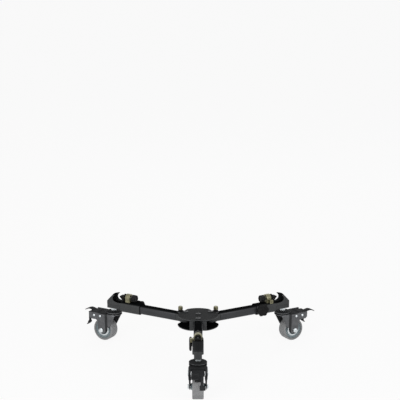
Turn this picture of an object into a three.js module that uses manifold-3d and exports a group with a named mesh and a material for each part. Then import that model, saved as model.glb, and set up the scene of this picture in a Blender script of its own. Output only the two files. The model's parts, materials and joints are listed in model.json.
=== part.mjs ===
// Tripod dolly: a hub of two plates and three arms, each with a sliding foot clamp on a braked swivel caster.
// Millimetres, +Z up. The floor is z = 0 and the origin is on it, under the middle of the outline.
// The front arm is bolted fast. The right and left arms fold level, round their root bolts, towards it.
import * as THREE from 'three';
import { mergeVertices } from 'three/addons/utils/BufferGeometryUtils.js';
import Module from 'manifold-3d';

// Arms, seen from above: the angle of each from +X, in degrees
const armAngles = { front: -90, right: 30, left: 150 };
const foldingArms = ['right', 'left'];

// Fits
const seatGap = 0.3;
const boreGap = 0.4;
const runningGap = 0.6;
const cutOverrun = 1;
const mergeDistance = 0.0005;

// Facets
const treadSides = 36;
const largeSides = 24;
const smallSides = 12;
const edgeSteps = 3;
const cornerSteps = 2;
const arcSteps = 5;
const springSides = 3;
const springSteps = 8;

// Wheel
const wheelDiameter = 75;
const wheelWidth = 34;
const treadThickness = 7.5;
const treadEdgeRadius = 3.5;
const rimWidth = 29;
const rimThickness = 4.5;
const webThickness = 11;
const wheelHubDiameter = 26;
const wheelHubEndDiameter = 17;
const wheelSideGap = 1;
const axleDiameter = 8;
const axleHeadWidth = 13;
const axleHeadThickness = 4.5;

// Fork: two pressed cheeks under a round crown. Its trails are lengths out from the swivel axis
const trail = 34;
const crownClearance = 22;
const crownThickness = 3.3;
const crownBack = 46;
const cheekThickness = 2.8;
const forkWidthAtAxle = 52;
const forkWidthAtCrown = 58;
const legWidth = 35;
const legLead = 3.5;
const legDrop = 12.5;
const webFront = 19;
const webFoot = 4;
const webFootRise = 14.5;
const raceDiameter = 42;
const raceHeight = 3;
const bracketEnd = 81;
const bracketDepth = 24;
const bracketNose = 6;
const rivetDiameter = 8;
const rivetHeight = 1.8;
const rivetTrail = 37.5;
const rivetDrop = 10;

// Brake pedal: its top is a wave, given as trails and as rises over the crown
const pedalWidth = 39;
const pedalThickness = 2.6;
const pedalInnerEnd = 50;
const pedalEndRise = -3;
const pedalInnerCrestTrail = 59;
const pedalInnerCrestRise = 0;
const pedalDipTrail = 76;
const pedalDipRise = -3;
const pedalCrestTrail = 99;
const pedalCrestRise = 1;
const pedalTip = 116;
const pedalTipRise = -5;
const pedalShortEnd = 89;
const pedalShortEndRise = -4;
const pedalHalfLap = 1;
const pedalTravel = 10;
const pedalPinTrail = 61;
const pedalPinDrop = 10;
const pedalPinDiameter = 6;
const pedalBossDiameter = 16;
const pedalLegWidth = 18;
const pedalLegThickness = 5;
const shoeThickness = 4.5;
const shoeGapPressed = 0.6;
const shoeLowAngle = 32;
const shoeHighAngle = 52;
const apronInset = 3;
const apronThickness = 2.6;
const apronWidth = 32;
const apronDepth = 9;
const tabThickness = 5;
const tabToe = 6;
const tabOverlap = 8;
const tabLength = 42.5;
const tabSide = 8;
const tabWidth = 8;
const toeSide = 5;
const toeWidth = 17;
const toeHeight = 12;

// Caster stem, its disc and its nut
const swivelRadius = 325;
const discDiameter = 55;
const discThickness = 4.4;
const discEdge = 1.2;
const stemDiameter = 10;
const stemRoof = 5.3;
const swivelShaftDiameter = 12;
const swivelHeadDiameter = 24;
const swivelHeadThickness = 3.2;
const nutWidth = 17;
const nutThickness = 10.6;

// Arm tube and root
const tubeSize = 28;
const tubeCorner = 7;
const tubeWall = 2;
const tubeSlideRoom = 26;
const spigotLength = 26;
const pivotRadius = 46;
const pivotDiameter = 10;
const pivotHeadDiameter = 17;
const pivotHeadThickness = 3;

// Hub: its places are lengths past the root bolts
const hubRound = 20;
const hubFlatReach = 12.5;
const hubRearMargin = 15;
const hubPlateThickness = 3.6;
const hubBossDiameter = 34;
const bracketWidth = 54;
const bracketLead = 16;
const bracketReach = 14;
const tongueWidth = 24;
const tongueMargin = 10;
const hubScrewDiameter = 8;
const hubScrewHeadDiameter = 16;
const hubScrewHeadThickness = 3;

// Indexing plunger
const plungerReach = 20;
const plungerDiameter = 15;
const plungerFlangeHeight = 5;
const plungerBarrelDiameter = 10;
const plungerBarrelHeight = 12;
const plungerBore = 7.4;
const plungerTopWall = 1.6;
const plungerCapHeight = 16;
const plungerCapWall = 2.4;
const plungerPinDiameter = 3.6;
const plungerCollarHeight = 2;
const plungerHoleDepth = 6;
const springWire = 0.8;
const springTurns = 5;

// Slider: sleeve, neck and foot cup. Insets are from the swivel axis, and heights are over the cup's floor
const sleeveWall = 2.6;
const sleeveLength = 74;
const sleeveInset = 37;
const sleeveEndWall = 4;
const sleeveCorner = 8;
const sleeveClearance = 5;
const neckWidth = 24;
const neckRise = 5;
const cupFloorThickness = 4.5;
const cupRimHeight = 4;
const cupRimWidth = 4;
const cupInset = 39;
const lipOverhang = 21.5;
const lipLean = 24.5;
const lipHeight = 29.5;
const lipThickness = 4;
const lipBulge = 25;
const lipShoulderHeight = 13.5;
const wingInset = 31;
const wingHollow = 16;
const lockInset = 19.5;
const lockBossDiameter = 17;
const lockBossHeight = 1;

// Star lock knob
const starDiameter = 44;
const starThickness = 8;
const starLobes = 6;
const starLobeDepth = 3;
const starSteps = 8;
const starHubDiameter = 15;
const starHubLength = 0.8;
const starStudDiameter = 6;

// Foot clamp
const clampRise = 15;
const clampInset = 41;
const clampBlockLength = 17;
const clampBlockDiameter = 26;
const clampFootWidth = 22;
const clampLugReach = 24;
const clampLugHeight = 12;
const clampLugLength = 12;
const clampLugHole = 4;
const clampLugHoleDepth = 5;
const clampScrewDiameter = 8;
const clampKnobDiameter = 25;
const clampKnobLength = 15;
const clampKnobGap = 5;
const clampKnobLobes = 8;
const clampKnobLobeDepth = 1.1;
const clampFlangeDiameter = 22;
const clampFlangeThickness = 3.5;
const clampFlangeGap = 5.5;
const padLength = 15;
const padFootLength = 4;
const padWidth = 20;
const padRise = 4;
const padDrop = 10;
const padEdge = 3;
const padSocketDepth = 5;

// Heights that follow, from the floor up
const wheelRadius = wheelDiameter / 2;
const crownTop = wheelDiameter + crownClearance;
const raceTop = crownTop + raceHeight;
const discBottom = raceTop + seatGap;
const discTop = discBottom + discThickness;
const nutBottom = discTop + seatGap;
const nutTop = nutBottom + nutThickness;
const sleeveSize = tubeSize + 2 * (boreGap + sleeveWall);
const neckBottom = nutTop + boreGap;
const sleeveBottom = nutBottom + sleeveClearance;
const armHeight = sleeveBottom + sleeveSize / 2;
const sleeveTop = armHeight + sleeveSize / 2;
const armTop = armHeight + tubeSize / 2;
const armBottom = armHeight - tubeSize / 2;
const neckTop = armHeight + neckRise;
const stemTop = neckTop - stemRoof;
const cupFloor = neckTop + cupFloorThickness;
const cupRim = cupFloor + cupRimHeight;
const lipShoulder = cupFloor + lipShoulderHeight;
const lipTop = cupFloor + lipHeight;
const clampHeight = sleeveTop + clampRise;
const hubTopUnderside = armTop + boreGap;
const hubTop = hubTopUnderside + hubPlateThickness;
const hubBottomTop = armBottom - boreGap;
const hubBottom = hubBottomTop - hubPlateThickness;
const pedalPinHeight = crownTop - pedalPinDrop;

// Places that follow, out from the hub's axis
const hubRadius = pivotRadius + hubRound;
const hubFlat = pivotRadius + hubFlatReach;
const hubRearReach = pivotRadius + hubRearMargin;
const bracketInner = pivotRadius - bracketLead;
const bracketOuter = pivotRadius + bracketReach;
const plungerRadius = pivotRadius + plungerReach;
const tongueReach = plungerRadius + tongueMargin;
const tubeStart = tongueReach;
const sleeveEnd = swivelRadius - sleeveInset;
const sleeveStart = sleeveEnd - sleeveLength;
const boreEnd = sleeveEnd - sleeveEndWall;
const tubeEnd = boreEnd - tubeSlideRoom;
const lockRadius = sleeveStart + lockInset;
const clampBlockStart = sleeveStart + clampInset;
const clampBlockEnd = clampBlockStart + clampBlockLength;
const cupFloorStart = swivelRadius - cupInset;
const lipReach = swivelRadius + lipOverhang;
const lipCentre = lipReach - lipBulge;
const lipCornerReach = lipCentre + Math.sqrt(lipBulge ** 2 - (sleeveSize / 2) ** 2);

// Fork widths that follow
const cheekSlope = (forkWidthAtCrown - forkWidthAtAxle) / 2 / (crownTop - wheelRadius);
const cheekInner = forkWidthAtAxle / 2 - cheekThickness;
const wheelHubHalf = cheekInner - wheelSideGap;

const colours = {
  castBlack: { color: 0x2b2c2e, roughness: 0.55, metalness: 0.3 },
  tubeBlack: { color: 0x333436, roughness: 0.45, metalness: 0.4 },
  gunmetal: { color: 0x55585b, roughness: 0.45, metalness: 0.7 },
  zinc: { color: 0xd2d5d8, roughness: 0.3, metalness: 0.9 },
  brass: { color: 0x9a9073, roughness: 0.35, metalness: 0.9 },
  blackPlastic: { color: 0x18181a, roughness: 0.5, metalness: 0 },
  blackRubber: { color: 0x1d1d1e, roughness: 0.85, metalness: 0 },
  treadGrey: { color: 0x828383, roughness: 0.75, metalness: 0 },
  rimGrey: { color: 0x6c7b80, roughness: 0.5, metalness: 0 },
  springSteel: { color: 0xaeb2b5, roughness: 0.35, metalness: 0.9 },
};

const wasm = await Module();
wasm.setup();

const rad = THREE.MathUtils.degToRad;

// Solids and geometries

function solidOf(geometry) {
  const bare = geometry.clone();
  bare.deleteAttribute('normal');
  bare.deleteAttribute('uv');
  const merged = mergeVertices(bare, mergeDistance);
  return new wasm.Manifold(new wasm.Mesh({
    numProp: 3,
    vertProperties: merged.attributes.position.array,
    triVerts: new Uint32Array(merged.index.array),
  }));
}

function geometryOf(solid) {
  const mesh = solid.getMesh();
  const geometry = new THREE.BufferGeometry();
  geometry.setAttribute('position', new THREE.BufferAttribute(new Float32Array(mesh.vertProperties), 3));
  geometry.setIndex(new THREE.BufferAttribute(new Uint32Array(mesh.triVerts), 1));
  geometry.computeVertexNormals();
  return geometry;
}

function join(...geometries) {
  const [first, ...rest] = geometries.map(solidOf);
  return geometryOf(rest.reduce((sum, next) => sum.add(next), first));
}

function cut(geometry, ...tools) {
  return geometryOf(tools.map(solidOf).reduce((left, tool) => left.subtract(tool), solidOf(geometry)));
}

function common(geometry, tool) {
  return geometryOf(solidOf(geometry).intersect(solidOf(tool)));
}

function named(name, geometry, colour) {
  const mesh = new THREE.Mesh(geometry, new THREE.MeshStandardMaterial(colours[colour]));
  mesh.name = name;
  return mesh;
}

// Plain forms, each between two places on an axis

function block(x0, x1, y0, y1, z0, z1) {
  return new THREE.BoxGeometry(x1 - x0, y1 - y0, z1 - z0)
    .translate((x0 + x1) / 2, (y0 + y1) / 2, (z0 + z1) / 2);
}

function upright(diameter, z0, z1, x, y, sides) {
  return new THREE.CylinderGeometry(diameter / 2, diameter / 2, z1 - z0, sides)
    .rotateX(Math.PI / 2)
    .translate(x, y, (z0 + z1) / 2);
}

function alongArm(diameter, x0, x1, y, z, sides) {
  return new THREE.CylinderGeometry(diameter / 2, diameter / 2, x1 - x0, sides)
    .rotateZ(-Math.PI / 2)
    .translate((x0 + x1) / 2, y, z);
}

function acrossArm(diameter, y0, y1, x, z, sides) {
  return new THREE.CylinderGeometry(diameter / 2, diameter / 2, y1 - y0, sides)
    .translate(x, (y0 + y1) / 2, z);
}

// An outline seen from above, raised from z0 to z1
function raised(outline, z0, z1) {
  return new THREE.ExtrudeGeometry(outline, { depth: z1 - z0, bevelEnabled: false, curveSegments: arcSteps })
    .translate(0, 0, z0);
}

// An outline in x and z, drawn out from y0 to y1
function sideways(outline, y0, y1, steps = cornerSteps) {
  const turn = new THREE.Matrix4().makeBasis(
    new THREE.Vector3(1, 0, 0), new THREE.Vector3(0, 0, 1), new THREE.Vector3(0, -1, 0));
  return new THREE.ExtrudeGeometry(outline, { depth: y1 - y0, bevelEnabled: false, curveSegments: steps })
    .applyMatrix4(turn)
    .translate(0, y1, 0);
}

// An outline in y and z, drawn out from x0 to x1
function lengthways(outline, x0, x1, steps = cornerSteps) {
  const turn = new THREE.Matrix4().makeBasis(
    new THREE.Vector3(0, 1, 0), new THREE.Vector3(0, 0, 1), new THREE.Vector3(1, 0, 0));
  return new THREE.ExtrudeGeometry(outline, { depth: x1 - x0, bevelEnabled: false, curveSegments: steps })
    .applyMatrix4(turn)
    .translate(x0, 0, 0);
}

// A profile of [radius, height] points turned round Z
function turned(points, sides) {
  return new THREE.LatheGeometry(points.map(([r, h]) => new THREE.Vector2(r, h)), sides)
    .rotateX(Math.PI / 2);
}

// A rectangle with round corners, centred on (0, height)
function roundedSquare(size, corner, height) {
  const half = size / 2;
  const inner = half - corner;
  const outline = new THREE.Shape();
  outline.absarc(inner, height + inner, corner, 0, Math.PI / 2);
  outline.absarc(-inner, height + inner, corner, Math.PI / 2, Math.PI);
  outline.absarc(-inner, height - inner, corner, Math.PI, Math.PI * 3 / 2);
  outline.absarc(inner, height - inner, corner, Math.PI * 3 / 2, Math.PI * 2);
  return outline;
}

// A round outline whose edge rises and falls in lobes
function lobedOutline(diameter, lobes, depth) {
  const count = lobes * starSteps;
  const points = [];
  for (let i = 0; i < count; i += 1) {
    const angle = 2 * Math.PI * i / count;
    const radius = diameter / 2 - depth * (1 - Math.cos(lobes * angle)) / 2;
    points.push(new THREE.Vector2(radius * Math.cos(angle), radius * Math.sin(angle)));
  }
  return new THREE.Shape(points);
}

// Six flats across the given width
function hexagon(width) {
  const corner = width / Math.sqrt(3);
  const points = [];
  for (let i = 0; i < 6; i += 1) {
    points.push(new THREE.Vector2(corner * Math.cos(i * Math.PI / 3), corner * Math.sin(i * Math.PI / 3)));
  }
  return new THREE.Shape(points);
}

// Wheel, with its axle along Y through the middle

function wheelTread(arm) {
  const outer = wheelRadius / Math.cos(Math.PI / treadSides);
  const inner = wheelRadius - treadThickness;
  const half = wheelWidth / 2;
  const points = [[inner, -half]];
  for (const side of [-1, 1]) {
    for (let i = 0; i <= edgeSteps; i += 1) {
      const turn = Math.PI / 2 * (side < 0 ? i : edgeSteps - i) / edgeSteps;
      points.push([
        outer - treadEdgeRadius * (1 - Math.sin(turn)),
        side * (half - treadEdgeRadius * (1 - Math.cos(turn))),
      ]);
    }
  }
  points.push([inner, half], [inner, -half]);
  // A facet as far out as the real radius, not a corner, meets the floor
  const ring = turned(points, treadSides).rotateX(Math.PI / 2).rotateY(Math.PI / treadSides);
  return named(`${arm}_wheel_tread`, ring, 'treadGrey');
}

function wheelCore(arm) {
  const bore = axleDiameter / 2 + boreGap;
  const outer = wheelRadius - treadThickness - seatGap;
  const half = [
    [wheelHubEndDiameter / 2, wheelHubHalf],
    [wheelHubDiameter / 2, rimWidth / 2],
    [wheelHubDiameter / 2, webThickness / 2],
    [outer - rimThickness, webThickness / 2],
    [outer - rimThickness / 2, rimWidth / 2],
    [outer, rimWidth / 2],
  ];
  const points = [
    [bore, -wheelHubHalf],
    ...half.map(([r, y]) => [r, -y]),
    ...half.slice().reverse(),
    [bore, wheelHubHalf],
    [bore, -wheelHubHalf],
  ];
  return named(`${arm}_wheel_core`, turned(points, largeSides).rotateX(Math.PI / 2), 'rimGrey');
}

function axleBolt(arm) {
  const inner = forkWidthAtAxle / 2 + cheekSlope * axleHeadWidth + seatGap;
  const headOutline = hexagon(axleHeadWidth);
  const shank = acrossArm(axleDiameter, -inner, inner, 0, 0, smallSides);
  const head = sideways(headOutline, inner, inner + axleHeadThickness);
  const nut = sideways(headOutline, -inner - axleHeadThickness, -inner);
  return named(`${arm}_axle_bolt`, join(shank, head, nut), 'zinc');
}

// Fork, in the caster's frame: the swivel axis is x = 0, z is the height above the floor

function cheekOutline() {
  const radius = legWidth / 2;
  const middle = trail - legLead;
  const legBack = middle + radius;
  const bracketBottom = crownTop - bracketDepth;
  const roundHeight = wheelRadius - legDrop + radius;
  const outline = new THREE.Shape();
  outline.moveTo(-webFront, crownTop);
  outline.lineTo(webFoot, wheelRadius + webFootRise);
  outline.absarc(middle, roundHeight, radius, Math.PI, Math.PI * 2);
  outline.lineTo(legBack, bracketBottom - bracketNose);
  outline.lineTo(legBack + bracketNose, bracketBottom);
  outline.lineTo(bracketEnd - bracketNose, bracketBottom);
  outline.lineTo(bracketEnd, bracketBottom + bracketNose);
  outline.lineTo(bracketEnd, crownTop);
  outline.closePath();
  return outline;
}

// The cheek on one side, leaning out from the axle up to the crown
function cheek(side) {
  const outer = side * forkWidthAtAxle / 2;
  const inner = side * cheekInner;
  const slope = side * cheekSlope;
  const lean = new THREE.Matrix4().set(
    1, 0, 0, 0,
    0, 1, slope, -slope * wheelRadius,
    0, 0, 1, 0,
    0, 0, 0, 1);
  return sideways(cheekOutline(), Math.min(inner, outer), Math.max(inner, outer), arcSteps)
    .applyMatrix4(lean);
}

function fork(arm) {
  const crownHalf = (forkWidthAtCrown - cheekThickness) / 2;
  const crownBottom = crownTop - crownThickness;
  const shaftHole = swivelShaftDiameter + 2 * boreGap;
  const rivetEnd = forkWidthAtCrown / 2 + rivetHeight;
  const body = join(
    block(-webFront, crownBack, -crownHalf, crownHalf, crownBottom, crownTop),
    upright(discDiameter, crownBottom, crownTop, 0, 0, largeSides),
    upright(raceDiameter, crownBottom, raceTop, 0, 0, largeSides),
    cheek(1),
    cheek(-1),
    acrossArm(rivetDiameter, -rivetEnd, -cheekInner, rivetTrail, crownTop - rivetDrop, smallSides),
    acrossArm(rivetDiameter, cheekInner, rivetEnd, rivetTrail, crownTop - rivetDrop, smallSides),
  );
  const pierced = cut(
    body,
    upright(shaftHole, crownBottom - cutOverrun, raceTop + cutOverrun, 0, 0, smallSides),
    acrossArm(axleDiameter + 2 * boreGap, -forkWidthAtCrown, forkWidthAtCrown,
      trail, wheelRadius, smallSides),
    acrossArm(pedalPinDiameter + 2 * boreGap, -forkWidthAtCrown, forkWidthAtCrown,
      pedalPinTrail, pedalPinHeight, smallSides),
  );
  return named(`${arm}_fork`, pierced, 'gunmetal');
}

function pedalPin(arm) {
  const reach = forkWidthAtCrown / 2 + seatGap;
  const pin = join(
    acrossArm(pedalPinDiameter, -reach, reach, 0, 0, smallSides),
    acrossArm(rivetDiameter, -reach - rivetHeight, -reach, 0, 0, smallSides),
    acrossArm(rivetDiameter, reach, reach + rivetHeight, 0, 0, smallSides),
  );
  return named(`${arm}_pedal_pin`, pin, 'zinc');
}

// A strip of the pedal's plate: the places of its top, made a curve, and its two sides
function pedalStrip(places, y0, y1) {
  const wave = new THREE.SplineCurve(places.map(([out, rise]) => new THREE.Vector2(out, crownTop + rise)));
  const top = wave.getPoints(smallSides);
  const under = top.map((p) => new THREE.Vector2(p.x, p.y - pedalThickness)).reverse();
  return sideways(new THREE.Shape([...top, ...under]), y0, y1);
}

// The long half ends in the lip that is trodden on. The short half ends over the apron
function pedalPlate() {
  const shared = [
    [pedalInnerEnd, pedalEndRise],
    [pedalInnerCrestTrail, pedalInnerCrestRise],
    [pedalDipTrail, pedalDipRise],
  ];
  const long = [...shared, [pedalCrestTrail, pedalCrestRise], [pedalTip, pedalTipRise]];
  const short = [...shared, [pedalShortEnd, pedalShortEndRise]];
  return join(pedalStrip(long, -pedalWidth / 2, pedalHalfLap), pedalStrip(short, 0, pedalWidth / 2));
}

// The shoe lies round the tread when the pedal is down, so it is drawn there and turned back up
function brakeShoe() {
  const near = wheelRadius + shoeGapPressed;
  const far = near + shoeThickness;
  const outline = new THREE.Shape();
  outline.absarc(trail, wheelRadius, near, rad(shoeLowAngle), rad(shoeHighAngle), false);
  outline.absarc(trail, wheelRadius, far, rad(shoeHighAngle), rad(shoeLowAngle), true);
  outline.closePath();
  return sideways(outline, -pedalLegWidth / 2, pedalLegWidth / 2, cornerSteps)
    .translate(-pedalPinTrail, 0, -pedalPinHeight)
    .rotateY(rad(-pedalTravel))
    .translate(pedalPinTrail, 0, pedalPinHeight);
}

// The leg runs straight from the pin's boss to the middle of the shoe
function shoeLeg() {
  const reach = wheelRadius + shoeGapPressed + shoeThickness / 2;
  const middle = rad((shoeLowAngle + shoeHighAngle) / 2);
  const pin = new THREE.Vector2(pedalPinTrail, pedalPinHeight);
  const shoe = new THREE.Vector2(trail + reach * Math.cos(middle), wheelRadius + reach * Math.sin(middle))
    .rotateAround(pin, rad(pedalTravel));
  const length = pin.distanceTo(shoe);
  const angle = Math.atan2(pin.y - shoe.y, pin.x - shoe.x);
  const half = pedalLegWidth / 2;
  return block(0, length, -half, half, -pedalLegThickness / 2, pedalLegThickness / 2)
    .rotateY(-angle)
    .translate(shoe.x, 0, shoe.y);
}

// The release tab from its side: it runs straight down, then its toe turns out
function tabOutline(face, top, bottom) {
  const outline = new THREE.Shape();
  outline.moveTo(face, top);
  outline.lineTo(face, bottom + tabToe);
  outline.lineTo(face + tabToe, bottom);
  outline.lineTo(face + tabToe + tabThickness, bottom);
  outline.lineTo(face + tabThickness, bottom + tabToe);
  outline.lineTo(face + tabThickness, top);
  outline.closePath();
  return outline;
}

// The apron hangs from the plate, and the release tab hangs from the apron on a narrow stalk
function apronAndTab() {
  const face = pedalShortEnd - apronInset;
  const top = crownTop + pedalShortEndRise - pedalThickness / 2;
  const apronBottom = top - apronDepth;
  const tabTop = apronBottom + tabOverlap;
  const tabBottom = tabTop - tabLength;
  return join(
    block(face, face + apronThickness, -apronWidth / 2, apronWidth / 2, apronBottom, top),
    sideways(tabOutline(face, tabTop, tabBottom), tabSide, tabSide + tabWidth),
    sideways(tabOutline(face, tabBottom + toeHeight, tabBottom), toeSide, toeSide + toeWidth),
  );
}

function brakePedal(arm) {
  const body = join(
    pedalPlate(),
    acrossArm(pedalBossDiameter, -pedalWidth / 2, pedalWidth / 2, pedalPinTrail, pedalPinHeight, smallSides),
    brakeShoe(),
    shoeLeg(),
    apronAndTab(),
  );
  const hole = acrossArm(pedalPinDiameter + 2 * boreGap, -pedalWidth, pedalWidth,
    pedalPinTrail, pedalPinHeight, smallSides);
  return named(`${arm}_brake_pedal`, cut(body, hole), 'gunmetal');
}

// Stem, from its riveted head under the crown up into the slider's neck
function casterStem(arm) {
  const headTop = crownTop - crownThickness - seatGap;
  const points = [
    [0, headTop - swivelHeadThickness],
    [swivelHeadDiameter / 2, headTop - swivelHeadThickness],
    [swivelHeadDiameter / 2, headTop],
    [swivelShaftDiameter / 2, headTop],
    [swivelShaftDiameter / 2, discBottom],
    [discDiameter / 2 - discEdge, discBottom],
    [discDiameter / 2, discBottom + discEdge],
    [discDiameter / 2, discTop - discEdge],
    [discDiameter / 2 - discEdge, discTop],
    [stemDiameter / 2, discTop],
    [stemDiameter / 2, stemTop],
    [0, stemTop],
  ];
  return named(`${arm}_caster_stem`, turned(points, largeSides), 'gunmetal');
}

function stemNut(arm) {
  const body = raised(hexagon(nutWidth), nutBottom, nutTop);
  const bore = upright(stemDiameter + 2 * boreGap, nutBottom - cutOverrun, nutTop + cutOverrun,
    0, 0, smallSides);
  return named(`${arm}_stem_nut`, cut(body, bore), 'zinc');
}

// The caster: what turns on the stem, with the wheel on its axle and the pedal on its pin
function caster(arm) {
  const group = new THREE.Group();
  group.position.x = swivelRadius;
  const wheel = new THREE.Group();
  wheel.position.set(trail, 0, wheelRadius);
  wheel.add(wheelTread(arm), wheelCore(arm), axleBolt(arm));
  const pin = pedalPin(arm);
  pin.position.set(pedalPinTrail, 0, pedalPinHeight);
  group.add(fork(arm), wheel, pin, brakePedal(arm), casterStem(arm), stemNut(arm));
  return group;
}

// Arm

function armTube(arm) {
  const outer = lengthways(roundedSquare(tubeSize, tubeCorner, armHeight), tubeStart, tubeEnd);
  const inner = lengthways(
    roundedSquare(tubeSize - 2 * tubeWall, tubeCorner - tubeWall, armHeight),
    tubeStart - cutOverrun, tubeEnd + cutOverrun);
  return named(`${arm}_arm_tube`, cut(outer, inner), 'tubeBlack');
}

// Root casting: a round eye on the root bolt, the tube's section, and a spigot inside the tube
function armRoot(arm) {
  const shoulder = tubeStart - seatGap;
  const spigotSize = tubeSize - 2 * tubeWall - 2 * boreGap;
  const spigotCorner = tubeCorner - tubeWall - boreGap;
  const body = join(
    upright(tubeSize, armBottom, armTop, pivotRadius, 0, largeSides),
    block(pivotRadius, (pivotRadius + shoulder) / 2, -tubeSize / 2, tubeSize / 2, armBottom, armTop),
    lengthways(roundedSquare(tubeSize, tubeCorner, armHeight), pivotRadius, shoulder),
    lengthways(roundedSquare(spigotSize, spigotCorner, armHeight), pivotRadius, tubeStart + spigotLength),
  );
  const holes = [upright(pivotDiameter + 2 * boreGap, armBottom - cutOverrun, armTop + cutOverrun,
    pivotRadius, 0, smallSides)];
  if (foldingArms.includes(arm)) {
    holes.push(upright(plungerBore + 2 * boreGap, armTop - plungerHoleDepth, armTop + cutOverrun,
      plungerRadius, 0, smallSides));
  }
  return named(`${arm}_arm_root`, cut(body, ...holes), 'castBlack');
}

function rootBolt(arm) {
  const under = hubBottom - seatGap;
  const over = hubTop + seatGap;
  const headOutline = [
    [0, under - pivotHeadThickness],
    [pivotHeadDiameter / 2, under - pivotHeadThickness],
    [pivotHeadDiameter / 2, under],
    [pivotDiameter / 2, under],
    [pivotDiameter / 2, over],
    [pivotHeadDiameter / 2, over],
    [pivotHeadDiameter / 3, over + pivotHeadThickness],
    [0, over + pivotHeadThickness],
  ];
  return named(`${arm}_root_bolt`, turned(headOutline, smallSides).translate(pivotRadius, 0, 0), 'gunmetal');
}

// Slider, with its sleeve on the tube and its cup over the caster

// The lip seen from its end: as wide as the sleeve above, and narrower down to the neck
function lipOutline() {
  const half = sleeveSize / 2;
  const outline = new THREE.Shape();
  outline.moveTo(-half, lipTop + cutOverrun);
  outline.lineTo(-half, lipShoulder);
  outline.lineTo(-neckWidth / 2, neckTop);
  outline.lineTo(-neckWidth / 2, neckTop - cutOverrun);
  outline.lineTo(neckWidth / 2, neckTop - cutOverrun);
  outline.lineTo(neckWidth / 2, neckTop);
  outline.lineTo(half, lipShoulder);
  outline.lineTo(half, lipTop + cutOverrun);
  outline.closePath();
  return outline;
}

// The outer half of a round wall, as deep in plan as the lip
function lipWall(z0, z1) {
  const outer = upright(2 * lipBulge, z0, z1, lipCentre, 0, 2 * largeSides);
  const inner = upright(2 * (lipBulge - lipThickness), z0 - cutOverrun, z1 + cutOverrun,
    lipCentre, 0, 2 * largeSides);
  return common(cut(outer, inner), block(lipCentre, lipReach + cutOverrun, -lipBulge, lipBulge, z0, z1));
}

// The lip stands up to the cup's rim, then leans in over the cup, cut to a shield outline
function cupLip() {
  const slope = lipLean / (lipTop - cupRim);
  const lean = new THREE.Matrix4().set(
    1, 0, -slope, slope * cupRim,
    0, 1, 0, 0,
    0, 0, 1, 0,
    0, 0, 0, 1);
  const wall = join(lipWall(neckTop - cutOverrun, cupRim), lipWall(cupRim, lipTop).applyMatrix4(lean));
  const hollow = lipCentre - lipLean;
  return common(wall, lengthways(lipOutline(), hollow, lipReach + cutOverrun));
}

// A plan with two straight sides from the given start, closed by the lip's round end
function roundEnded(start, half, inset) {
  const radius = lipBulge - inset;
  const turn = Math.asin(half / radius);
  const outline = new THREE.Shape();
  outline.absarc(lipCentre, 0, radius, -turn, turn, false);
  outline.lineTo(start, half);
  outline.lineTo(start, -half);
  outline.closePath();
  return outline;
}

// A wing on each side of the cup: its top edge sweeps from the lip's top to the rim in a hollow curve
function cupWing(side) {
  const inner = side * (sleeveSize / 2 - lipThickness);
  const outer = side * sleeveSize / 2;
  const foot = lipCornerReach - lipThickness / 2;
  const rimReach = swivelRadius - wingInset;
  const outline = new THREE.Shape();
  outline.moveTo(rimReach, neckTop);
  outline.lineTo(foot, neckTop);
  outline.lineTo(foot, cupRim);
  outline.lineTo(foot - lipLean, lipTop);
  outline.quadraticCurveTo(foot - lipLean + wingHollow, cupRim, rimReach, cupRim);
  outline.closePath();
  return sideways(outline, Math.min(inner, outer), Math.max(inner, outer), arcSteps);
}

function slider(arm) {
  const side = -sleeveSize / 2;
  const tray = cut(
    raised(roundEnded(cupFloorStart, sleeveSize / 2, 0), neckTop - cutOverrun, cupRim),
    raised(roundEnded(cupFloorStart, sleeveSize / 2 - cupRimWidth, cupRimWidth),
      cupFloor, cupRim + cutOverrun),
  );
  const body = join(
    lengthways(roundedSquare(sleeveSize, sleeveCorner, armHeight), sleeveStart, sleeveEnd),
    raised(roundEnded(boreEnd, neckWidth / 2, 0), neckBottom, neckTop),
    tray,
    cupLip(),
    cupWing(1),
    cupWing(-1),
    acrossArm(lockBossDiameter, side - lockBossHeight, side + sleeveWall / 2,
      lockRadius, armHeight, smallSides),
  );
  const bore = roundedSquare(tubeSize + 2 * boreGap, tubeCorner + boreGap, armHeight);
  const pierced = cut(
    body,
    lengthways(bore, sleeveStart - cutOverrun, boreEnd),
    acrossArm(starStudDiameter + 2 * boreGap, side - lockBossHeight - cutOverrun,
      side + sleeveWall + cutOverrun, lockRadius, armHeight, smallSides),
    upright(stemDiameter + 2 * boreGap, neckBottom - cutOverrun, stemTop + seatGap,
      swivelRadius, 0, smallSides),
  );
  return named(`${arm}_slider`, pierced, 'castBlack');
}

// Star knob on the sleeve's side, its stud ending just off the tube. Its axis is Y, its origin the stud's end
function lockKnob(arm) {
  const hubStart = -(sleeveSize / 2 - tubeSize / 2) - lockBossHeight - seatGap;
  const starStart = hubStart - starHubLength;
  const star = sideways(lobedOutline(starDiameter, starLobes, starLobeDepth),
    starStart - starThickness, starStart);
  const knob = join(
    star,
    acrossArm(starHubDiameter, starStart - cutOverrun, hubStart, 0, 0, smallSides),
    acrossArm(starStudDiameter, hubStart - cutOverrun, -seatGap, 0, 0, smallSides),
  );
  const mesh = named(`${arm}_lock_knob`, knob, 'blackPlastic');
  mesh.position.set(lockRadius, -tubeSize / 2, armHeight);
  return mesh;
}

// Foot clamp: a threaded barrel on the sleeve, a screw through it, a knob on one end and a pad on the other

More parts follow.
